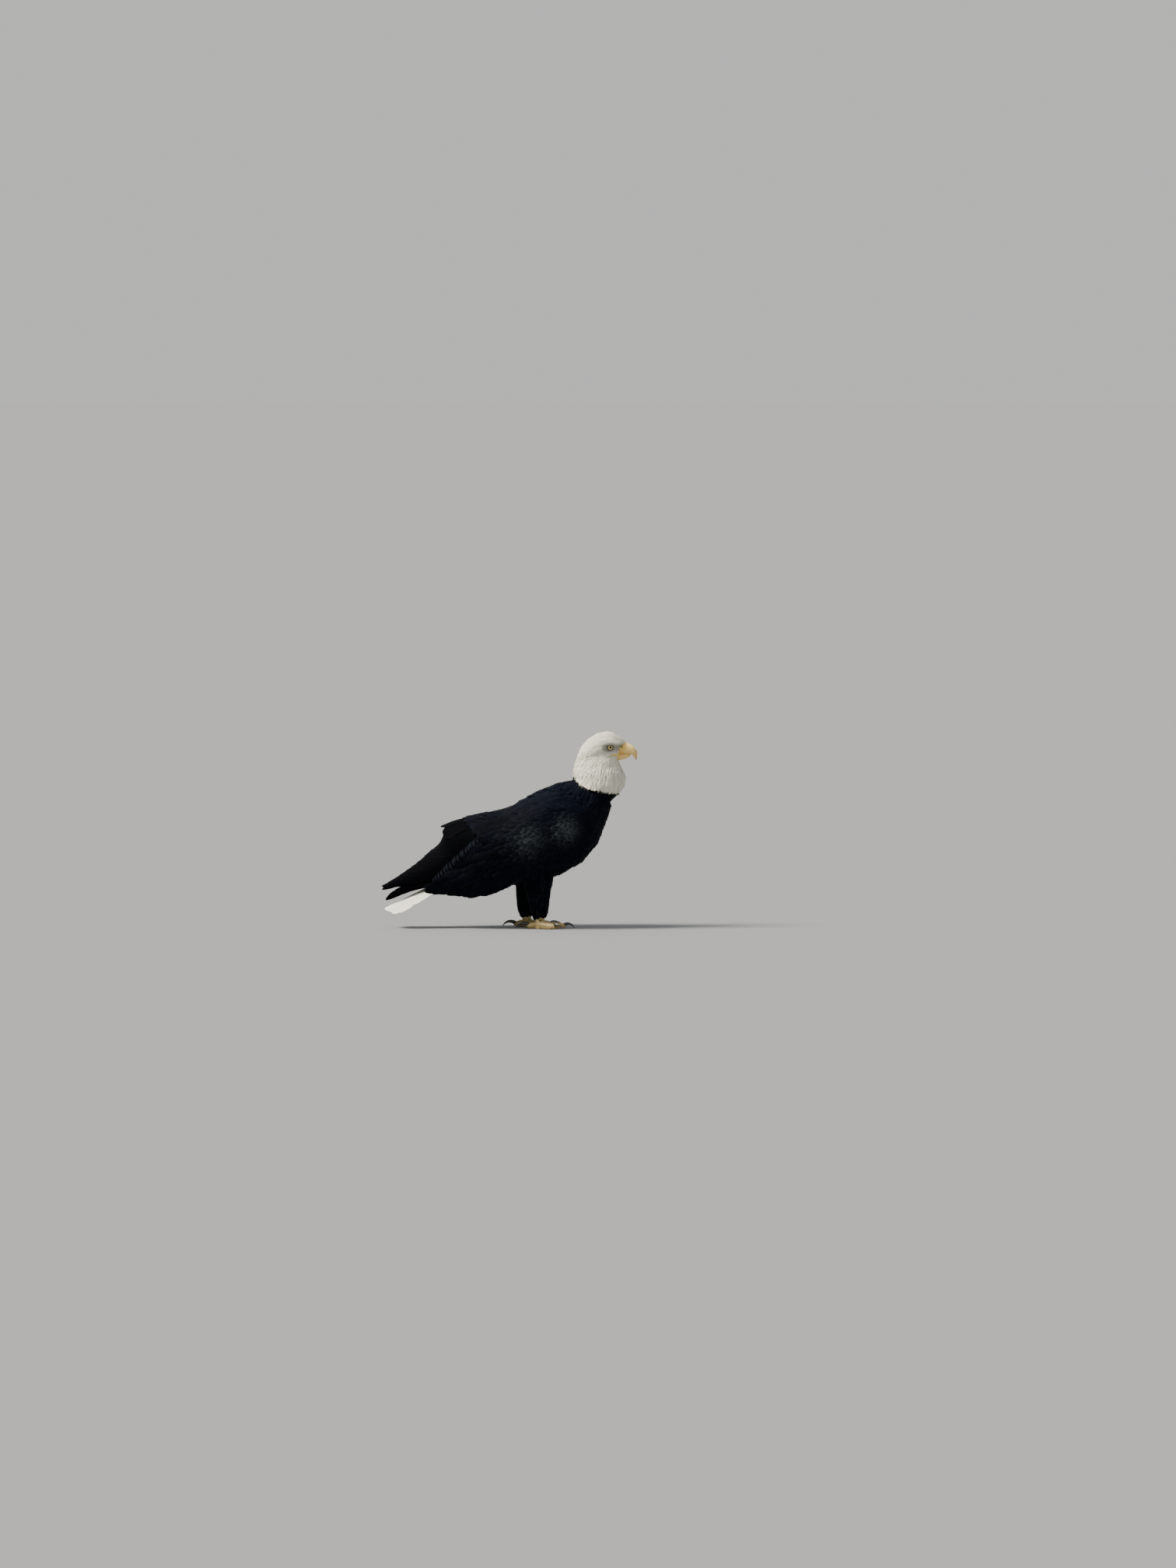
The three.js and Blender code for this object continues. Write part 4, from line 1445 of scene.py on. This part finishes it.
def toe_plates(toe, form, x, side):
    """Roots and widths of the broad plates over a toe's top, and the way they run."""
    c, s = heading(toe)
    along = PLATE_STEP * np.arange(1, int(toe["length"] / PLATE_STEP))
    across = -side * (along * s + toe["offset"] - STANCE)
    tops = mm(np.stack([x + along * c, across, np.full(len(along), TOP_OF_FOOT)], 1))
    hits = [form.tree.ray_cast(place, DOWN)[0] or form.tree.find_nearest(place)[0]
            for place in tops.tolist()]
    widths = 2 * toe["radius"] * (0.80 - 0.12 * along / toe["length"]) * MM
    return np.array([tuple(hit) for hit in hits]), widths, np.array([c, -side * s, 0])


def make_scutes(side_name):
    """Broad plates over the tops of the toes, and small round scales on the rest of the foot."""
    form, coat = foot_forms[side_name], Coat(f"scutes_{side_name}")
    for toe in TOES:
        roots, widths, ahead = toe_plates(toe, form, foot_x(side_name) / MM - AHEAD, SIDES[side_name])
        many = len(roots)
        leaves = spread(SCUTE_VANE, form, roots, lambda places, normals: unit(flattened(ahead, normals)),
                        np.full(many, 7.2 * MM), widths, np.full(many, 1.1 * MM), 0.0, sway=0.02)
        coat.add(SCUTE_VANE, off_floor(leaves, 0.3 * MM), 0.0, 0.5, foot_patches(roots))
    off_sole = form.middles()[:, 2] > 2.2 * MM
    grains, _ = form.scatter(off_sole, lambda places: np.full(len(places), 2.6 * MM), tries=7)
    length, width, depth = (np.full(len(grains), size * MM) for size in (3.3, 3.0, 0.6))
    leaves = spread(FACE_VANE, form, grains, lie_leg, length, width, depth, 0.0, sway=0.2)
    coat.add(FACE_VANE, off_floor(leaves, 0.3 * MM), 0.0, 0.2, foot_patches(grains))
    return coat.piece()


feet = {side: make_foot(side) for side in SIDES}
foot_forms = {side: piece_surface(feet[side]) for side in SIDES}
claw_pieces = {side: make_claws(side) for side in SIDES}
scutes = {side: make_scutes(side) for side in SIDES}


# ---------------------------------------------------------------- finishes

class Value:
    """A number, colour or vector in a finish, for writing sums on it."""

    def __init__(self, finish, socket):
        self.finish, self.socket = finish, socket

    def sum(self, operation, *values):
        return self.finish.node("ShaderNodeMath", {"operation": operation}, *values)

    def __add__(self, other):
        return self.sum("ADD", self, other)

    def __sub__(self, other):
        return self.sum("SUBTRACT", self, other)

    def __rsub__(self, other):
        return self.sum("SUBTRACT", other, self)

    def __mul__(self, other):
        return self.sum("MULTIPLY", self, other)

    def __pow__(self, other):
        return self.sum("POWER", self, other)

    def __abs__(self):
        return self.sum("ABSOLUTE", self)

    __radd__, __rmul__ = __add__, __mul__

    def kept(self, low=0.0, high=1.0):
        return self.sum("MINIMUM", self.sum("MAXIMUM", self, low), high)

    def step(self, low, high):
        """0 below low, 1 above high, smooth between."""
        return self.finish.node("ShaderNodeMapRange", {"interpolation_type": "SMOOTHSTEP"},
                                {"Value": self, "From Min": low, "From Max": high})


class Finish:
    """A material made of nodes."""

    def __init__(self, name, **constants):
        self.material = bpy.data.materials.new(name)
        self.material.use_nodes = True
        self.tree = self.material.node_tree
        self.shader = self.tree.nodes["Principled BSDF"]
        for key, value in constants.items():
            self.shader.inputs[key.replace("_", " ")].default_value = value

    def node(self, kind, settings, *values, out=0):
        """Adds a node: its type, its settings, the values or links of its sockets, and the output
        that is used."""
        node = self.tree.nodes.new(kind)
        for key, value in settings.items():
            if key == "stops":
                self.set_stops(node.color_ramp, value)
            else:
                setattr(node, key, value)
        pairs = values[0].items() if values and isinstance(values[0], dict) else enumerate(values)
        for key, value in pairs:
            self.feed(node.inputs[key], value)
        return Value(self, node.outputs[out])

    def set_stops(self, ramp, stops):
        while len(ramp.elements) < len(stops):
            ramp.elements.new(0.5)
        for element, (place, colour) in zip(ramp.elements, stops):
            element.position, element.color = place, (*colour, 1)

    def feed(self, socket, value):
        if isinstance(value, Value):
            self.tree.links.new(value.socket, socket)
        else:
            socket.default_value = value

    def attribute(self, name, part="Fac"):
        return self.node("ShaderNodeAttribute", {"attribute_name": name}, out=part)

    def parts(self, vector):
        return [self.node("ShaderNodeSeparateXYZ", {}, vector, out=axis) for axis in "XYZ"]

    def vector(self, x, y, z):
        return self.node("ShaderNodeCombineXYZ", {}, x, y, z)

    def place(self):
        return self.node("ShaderNodeTexCoord", {}, out="Object")

    def noise(self, vector, scale, detail=2.0, rough=0.5, distortion=0.0):
        return self.node("ShaderNodeTexNoise", {}, {
            "Vector": vector, "Scale": scale, "Detail": detail, "Roughness": rough,
            "Distortion": distortion})

    def blend(self, share, first, second):
        """A colour between two, by share."""
        mix = self.node("ShaderNodeMix", {"data_type": "RGBA"}, {"Factor": share}, out="Result")
        node = mix.socket.node
        self.feed(node.inputs[6], first if isinstance(first, Value) else (*first, 1))
        self.feed(node.inputs[7], second if isinstance(second, Value) else (*second, 1))
        return Value(self, node.outputs[2])

    def relief(self, height, strength, depth):
        bump = {"Strength": strength, "Distance": depth, "Height": height}
        normal = self.node("ShaderNodeBump", {}, bump)
        self.feed(self.shader.inputs["Normal"], normal)

    def colour(self, value):
        self.feed(self.shader.inputs["Base Color"], value)

    def roughness(self, value):
        self.feed(self.shader.inputs["Roughness"], value)


# Front and rear blacks of the dark plumage: the lighter bluish front is partly painted sky fill light,
# the darker rear is painted shade against the key light, and the rear black also darkens shafts and
# barbs.
BLUISH_BLACK, REAR_SHADE_AND_SHAFT_BLACK = (0.0015, 0.0024, 0.0066), (0.0007, 0.0011, 0.0023)
# The paler edges' colour: worn edges, and painted sheen in patches on the small coverts.
WORN_AND_SHEEN_BLACK = (0.036, 0.043, 0.047)
WARM_WHITE, SHADED_WHITE = (0.93, 0.91, 0.735), (0.58, 0.575, 0.49)
# The nostrils' insides: painted shade in the holes.
NOSTRIL_PAINTED_SHADE = (0.010, 0.007, 0.005)


def plumage_finish(name, dark=BLUISH_BLACK, warm=REAR_SHADE_AND_SHAFT_BLACK, worn_and_sheen_dark=WORN_AND_SHEEN_BLACK, white=WARM_WHITE,
                   shade=SHADED_WHITE, streaks=34, shaft=0.05, relief=0.3, rim_from=0.35, **constants):
    """Vanes: barbs that run out from the shaft, paler edges that are partly painted sheen, a shaft line,
    broken tone, and painted shade towards the white vanes' roots and on the dark plumage's upper rear.
    """
    finish = Finish(name, **{"Specular_IOR_Level": 0.02, **constants})
    across, along, chance = finish.parts(finish.attribute("vane", "Vector"))
    x, y, z = finish.parts(finish.place())
    tone, pale = finish.attribute("tone"), finish.attribute("pale")
    out = abs(across)
    barb = along - out * 0.22
    lines = finish.noise(finish.vector(barb * streaks, across * 1.6, chance * 60), 1.0, 3.0, 0.65)
    cloud = finish.noise(finish.place(), 20, 3.0, 0.55)
    rim = (out.step(rim_from, 1.0) + along.step(0.55 + rim_from * 0.45, 1.0)).kept()
    shaft_line = 1 - out.step(shaft * 0.5, shaft)
    # Bluish black on shoulder, neck and legs, lighter and partly painted sky fill light, and a darker, a
    # little greener and warmer black behind, which is painted shade on the upper rear against the key
    # light.
    back = 1 - (x + (z - 0.25) * 0.5).step(-0.02, 0.20)
    base = finish.blend((back * 0.6 + (cloud - 0.5) * 1.3 + (chance - 0.5) * 0.5).kept(), dark, warm)
    # Paler edges by the pale value: worn edges, and on the small coverts painted sheen in patches.
    brown = finish.blend((pale * (0.34 + 0.66 * rim) * (0.55 + 0.7 * lines)).kept(), base, worn_and_sheen_dark)
    brown = finish.blend((shaft_line * 0.2 + (lines - 0.5) * 0.6).kept(0, 0.5), brown, warm)
    # Broken tone of the white, darker towards each vane's root as painted shade under the feathers that
    # overlap it.
    worn = (lines - 0.5) * 2.0 + (cloud - 0.45) * 0.8 + (1 - along) * 0.35 + (chance - 0.5) * 0.35
    pure = finish.blend(worn.kept(), white, shade)
    finish.colour(finish.blend(tone, brown, pure))
    finish.roughness((0.52 + 0.25 * lines + 0.1 * tone).kept())
    finish.relief(lines * 0.9 + shaft_line * 0.6, relief, 0.8 * MM)
    return finish.material


def skin_finish():
    """Down and bare skin under the feathers, with the same markings."""
    finish = Finish("under_plumage", Specular_IOR_Level=0.25)
    tone = finish.attribute("tone")
    down = finish.noise(finish.place(), 420, 3.0, 0.6)
    brown = finish.blend(down, (0.0015, 0.0025, 0.006), (0.003, 0.0042, 0.009))
    pure = finish.blend(down, (0.62, 0.60, 0.55), (0.78, 0.77, 0.71))
    finish.colour(finish.blend(tone, brown, pure))
    finish.roughness(0.78 + 0.15 * down)
    finish.relief(down, 0.5, 0.0012)
    return finish.material


def nostril_share(finish):
    """1 inside the nostrils, 0 outside."""
    x, y, z = finish.parts(finish.place())
    at_x, at_y, at_z = mm([NOSTRIL])[0]
    off = ((x - at_x) * 300) ** 2 + ((z - at_z) * 230) ** 2
    return (1 - off.step(0.8, 1.1)) * (1 - abs(y).step(at_y - 0.0016, at_y - 0.0006))


def horn_finish():
    """Bill horn: warm yellow, paler along the ridge and darker at the tip, with fine growth lines."""
    finish = Finish("bill_horn", Coat_Roughness=0.18, Specular_IOR_Level=0.45)
    x, y, z = finish.parts(finish.place())
    growth = finish.noise(finish.vector(x * 520, y * 90, z * 140), 1.0, 3.0, 0.6, 0.4)
    patches = finish.noise(finish.place(), 95, 2.0)
    tip = x.step(0.338, 0.353)
    yellow = finish.blend(patches, (0.90, 0.66, 0.25), (0.86, 0.58, 0.18))
    under = (1 - z.step(0.470, 0.486)) * 0.7
    yellow = finish.blend(under, yellow, (0.86, 0.53, 0.18))
    yellow = finish.blend(tip * 0.55, yellow, (0.50, 0.36, 0.16))
    yellow = finish.blend((growth - 0.55).kept() * 1.2, yellow, (0.42, 0.26, 0.07))
    inside = nostril_share(finish)
    # Inside the nostrils: painted shade.
    finish.colour(finish.blend(inside, yellow, NOSTRIL_PAINTED_SHADE))
    finish.feed(finish.shader.inputs["Coat Weight"], 0.25 - 0.25 * inside)
    finish.roughness((0.26 + 0.22 * growth + 0.7 * inside).kept())
    finish.relief(growth, 0.16, 0.0004)
    return finish.material


def cere_finish():
    """Waxy skin at the bill's root and the corner of the mouth."""
    finish = Finish("cere_wax", Coat_Roughness=0.35)
    pores = finish.noise(finish.place(), 900, 2.0, 0.6)
    patches = finish.noise(finish.place(), 130, 2.0)
    yellow = finish.blend((patches * 1.1 - 0.1).kept(), (0.82, 0.58, 0.16), (0.76, 0.47, 0.09))
    inside = nostril_share(finish)
    # Inside the nostrils: painted shade.
    finish.colour(finish.blend(inside, yellow, NOSTRIL_PAINTED_SHADE))
    finish.feed(finish.shader.inputs["Coat Weight"], 0.12 - 0.12 * inside)
    finish.roughness((0.38 + 0.25 * pores + 0.6 * inside).kept())
    finish.relief(pores, 0.25, 0.0005)
    return finish.material


def lid_finish():
    """Bare grey and yellow rims round the eyes."""
    finish = Finish("eyelid_skin", Specular_IOR_Level=0.3)
    wrinkles = finish.noise(finish.place(), 700, 3.0, 0.6)
    bare = finish.attribute("bare")
    lid = finish.blend(wrinkles, (0.045, 0.040, 0.034), (0.16, 0.14, 0.09))
    finish.colour(finish.blend(bare.step(0.1, 0.8), (0.30, 0.30, 0.28), lid))
    finish.roughness(0.42 + 0.3 * wrinkles)
    finish.relief(wrinkles, 0.45, 0.0006)
    return finish.material


def eye_finish(side_name):
    """Pale yellow iris with darker rays and rim, round black pupil, wet clear front."""
    side = SIDES[side_name]
    finish = Finish(f"eye_{side_name}_gloss", Coat_Weight=0.5, Coat_Roughness=0.02, Coat_IOR=1.33,
                    Specular_IOR_Level=0.15)

    def vectors(operation, *values, out=0):
        return finish.node("ShaderNodeVectorMath", {"operation": operation}, *values, out=out)

    from_eye = vectors("SUBTRACT", finish.place(), tuple(EYE * (1, side, 1)))
    depth = vectors("DOT_PRODUCT", from_eye, tuple(gaze(side)), out="Value")
    size = vectors("LENGTH", from_eye, out="Value")
    off = (size * size - depth * depth).kept() ** 0.5 * 1000  # from the eye's axis, in millimetres
    rays = finish.noise(vectors("NORMALIZE", from_eye), 34, 3.0, 0.7)
    iris = finish.blend(rays, (0.74, 0.62, 0.27), (0.52, 0.40, 0.13))
    iris = finish.blend(off.step(5.4, 6.8), iris, (0.12, 0.085, 0.03))
    iris = finish.blend(1 - off.step(3.1, 3.9), iris, (0.30, 0.20, 0.05))
    colour = finish.blend(1 - off.step(2.95, 3.15), iris, (0.002, 0.002, 0.002))
    colour = finish.blend(off.step(7.0, 7.5), colour, (0.03, 0.025, 0.02))
    finish.colour(colour)
    finish.roughness(0.12 + 0.05 * rays)
    return finish.material


def foot_finish():
    """Leathery yellow skin of shank and toes, darker in the cracks between its scales."""
    finish = Finish("foot_leather", Specular_IOR_Level=0.4)
    cells = finish.node("ShaderNodeTexVoronoi", {"feature": "DISTANCE_TO_EDGE"},
                        {"Vector": finish.place(), "Scale": 420.0}, out="Distance")
    patches = finish.noise(finish.place(), 80, 3.0)
    height = finish.parts(finish.place())[2]
    yellow = finish.blend(patches, (0.42, 0.31, 0.12), (0.33, 0.25, 0.12))
    yellow = finish.blend((1 - height.step(0.0, 0.004)) * 0.6, yellow, (0.20, 0.14, 0.07))
    finish.colour(finish.blend(1 - cells.step(0.02, 0.12), yellow, (0.26, 0.17, 0.05)))
    finish.roughness(0.45 + 0.2 * patches)
    finish.relief(cells.kept(0, 0.2), 0.5, 0.0012)
    return finish.material


def scute_finish():
    """Smooth horny plates on the toes, worn paler at their edges."""
    finish = Finish("scute_horn", Specular_IOR_Level=0.45)
    across, along, chance = finish.parts(finish.attribute("vane", "Vector"))
    patches = finish.noise(finish.place(), 120, 3.0)
    rim = (abs(across).step(0.6, 1.0) + along.step(0.7, 1.0)).kept()
    yellow = finish.blend((patches * 0.7 + chance * 0.4).kept(), (0.50, 0.37, 0.13), (0.36, 0.28, 0.13))
    finish.colour(finish.blend(rim * 0.5, yellow, (0.40, 0.27, 0.09)))
    finish.roughness(0.34 + 0.2 * patches)
    finish.relief(patches, 0.2, 0.0005)
    return finish.material


def claw_finish():
    """Black horn, grey at the root, with fine lines along it."""
    finish = Finish("claw_horn", Coat_Weight=0.3, Coat_Roughness=0.15, Specular_IOR_Level=0.5)
    lines = finish.noise(finish.place(), 600, 3.0, 0.6)
    cloud = finish.noise(finish.place(), 60, 2.0)
    black, grey = (0.006, 0.006, 0.006), (0.030, 0.027, 0.023)
    finish.colour(finish.blend((lines * 0.5 + cloud * 0.5).kept(), black, grey))
    finish.roughness(0.2 + 0.25 * lines)
    finish.relief(lines, 0.12, 0.0003)
    return finish.material


def floor_finish():
    """Plain pale grey, without gloss."""
    finish = Finish("pale_floor", Specular_IOR_Level=0.0)
    grain = finish.noise(finish.place(), 3.0, 3.0)
    finish.colour(finish.blend(grain, (0.229, 0.233, 0.239), (0.238, 0.242, 0.248)))
    finish.roughness(0.9 + 0.05 * grain)
    return finish.material


def dress(piece, material, slot, *nodes):
    """Gives a piece its finish and its body, and hides the solids that it stands for; the slot is not
    used.
    """
    piece.data.materials.clear()
    piece.data.materials.append(material)
    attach(piece, "root")
    if nodes:
        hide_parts(*nodes)
    return piece


GLOW = dict(Subsurface_Weight=0.35, Subsurface_Radius=(1.0, 1.0, 1.0), Subsurface_Scale=0.002)
white_vanes = plumage_finish("white_plumage", relief=0.45, **GLOW)
dark_vanes = plumage_finish("dark_plumage")
long_vanes = plumage_finish(
    "flight_feathers", dark=(0.0004, 0.0006, 0.0013), warm=(0.0006, 0.0007, 0.0013),
    worn_and_sheen_dark=(0.0052, 0.0055, 0.0064), streaks=120, shaft=0.035, rim_from=0.7,
    Specular_IOR_Level=0.012)
tail_finish = plumage_finish(
    "tail_feathers", streaks=120, shaft=0.035, shade=(0.58, 0.58, 0.55), **GLOW)

skin_points = points_of(skin)
# The skin's tone is greyed too in the lores and, as painted shade from the brow, round the eye.
give(skin, "tone", whiteness(skin_points) * (1 - 0.6 * lores_grey_and_eye_shade(skin_points)))
dress(skin, skin_finish(), "dark_plumage", *FLESH, *WINGS)
WHITE_COATS = ("face", "crown", "neck", "rump")
for name, piece in [*body_coats.items(), *covert_pieces.items()]:
    if name in WHITE_COATS:
        dress(piece, white_vanes, "white_plumage")
    else:
        dress(piece, dark_vanes, "dark_plumage")
for name, piece in quill_pieces.items():
    dress(piece, long_vanes, "flight_feathers", name.replace("_vanes", ""))
dress(tail_piece, tail_finish, "white_plumage", "tail")
horn, wax, leather, black = horn_finish(), cere_finish(), foot_finish(), claw_finish()
dress(bill_pieces["bill_upper"], horn, "bill_horn", "upper_bill")
dress(bill_pieces["bill_lower"], horn, "bill_horn", "lower_bill")
dress(bill_pieces["cere_skin"], wax, "cere", "cere")
dress(gape_piece, wax, "cere")
dress(lids_piece, lid_finish(), "cere")
plates = scute_finish()
for side_name in SIDES:
    dress(eyes[side_name], eye_finish(side_name), "eye", f"eye_{side_name}")
    dress(feet[side_name], leather, "foot_skin", *foot_nodes(side_name))
    dress(scutes[side_name], plates, "foot_skin")
    claws = [f"claw_{toe['name']}_{side_name}" for toe in TOES]
    dress(claw_pieces[side_name], black, "claw", *claws)


# ---------------------------------------------------------------- floor, light and camera

FLOOR_SIZE = 400
SKY = [(0.624, 0.621, 0.612, 1), (0.62, 0.63, 0.65, 1)]  # at the horizon and overhead
# Wide soft suns: where they stand, their strength, their spread in degrees and their colour.
SUNS = {
    "key": ((-0.78, -0.20, 0.95), 8.0, 22, (1.0, 0.95, 0.86)),
    "back": ((-0.35, 0.80, 0.75), 0.5, 50, (0.95, 0.97, 1.0)),
}


def make_setting():
    rest_selection()
    bpy.ops.mesh.primitive_plane_add(size=FLOOR_SIZE)
    floor = named("floor")
    floor.data.materials.append(floor_finish())
    world = bpy.data.worlds.new("studio")
    bpy.context.scene.world = world
    world.use_nodes = True
    tree = world.node_tree
    ramp = tree.nodes.new("ShaderNodeValToRGB")
    for element, colour in zip(ramp.color_ramp.elements, SKY):
        element.color = colour
    height = tree.nodes.new("ShaderNodeSeparateXYZ")
    sky_place = tree.nodes.new("ShaderNodeTexCoord")
    tree.links.new(sky_place.outputs["Generated"], height.inputs[0])
    tree.links.new(height.outputs["Z"], ramp.inputs[0])
    tree.links.new(ramp.outputs["Color"], tree.nodes["Background"].inputs["Color"])
    for name, (way, strength, spread_angle, colour) in SUNS.items():
        lamp = bpy.data.lights.new(name, "SUN")
        lamp.energy, lamp.angle, lamp.color = strength, math.radians(spread_angle), colour
        holder = bpy.data.objects.new(name, lamp)
        bpy.context.scene.collection.objects.link(holder)
        holder.location = Vector(way) * 3
        holder.rotation_euler = Vector(way).to_track_quat("Z", "Y").to_euler()


def make_camera():
    """Far off to the bird's right with a long lens, and the bird low and left of the middle."""
    lens = bpy.data.cameras.new("camera")
    lens.lens, lens.sensor_width, lens.clip_end = 240, 36, FLOOR_SIZE
    camera = bpy.data.objects.new("camera", lens)
    bpy.context.scene.collection.objects.link(camera)
    middle = Vector([(a + b) / 2 for a, b in zip(*cad_box)])
    per_point = 2.143 * MM  # what a 2016th of the frame's height takes in
    far = per_point * 2016 * lens.lens / lens.sensor_width
    rise = math.radians(2.5)
    back = Vector((0, -math.cos(rise), math.sin(rise)))
    up = Vector((0, math.sin(rise), math.cos(rise)))
    aim = middle + Vector((101.5 * per_point, 0, 0)) + up * (58.5 * per_point)
    camera.location = aim + back * far
    camera.rotation_euler = (-back).to_track_quat("-Z", "Y").to_euler()
    bpy.context.scene.camera = camera


make_setting()
make_camera()
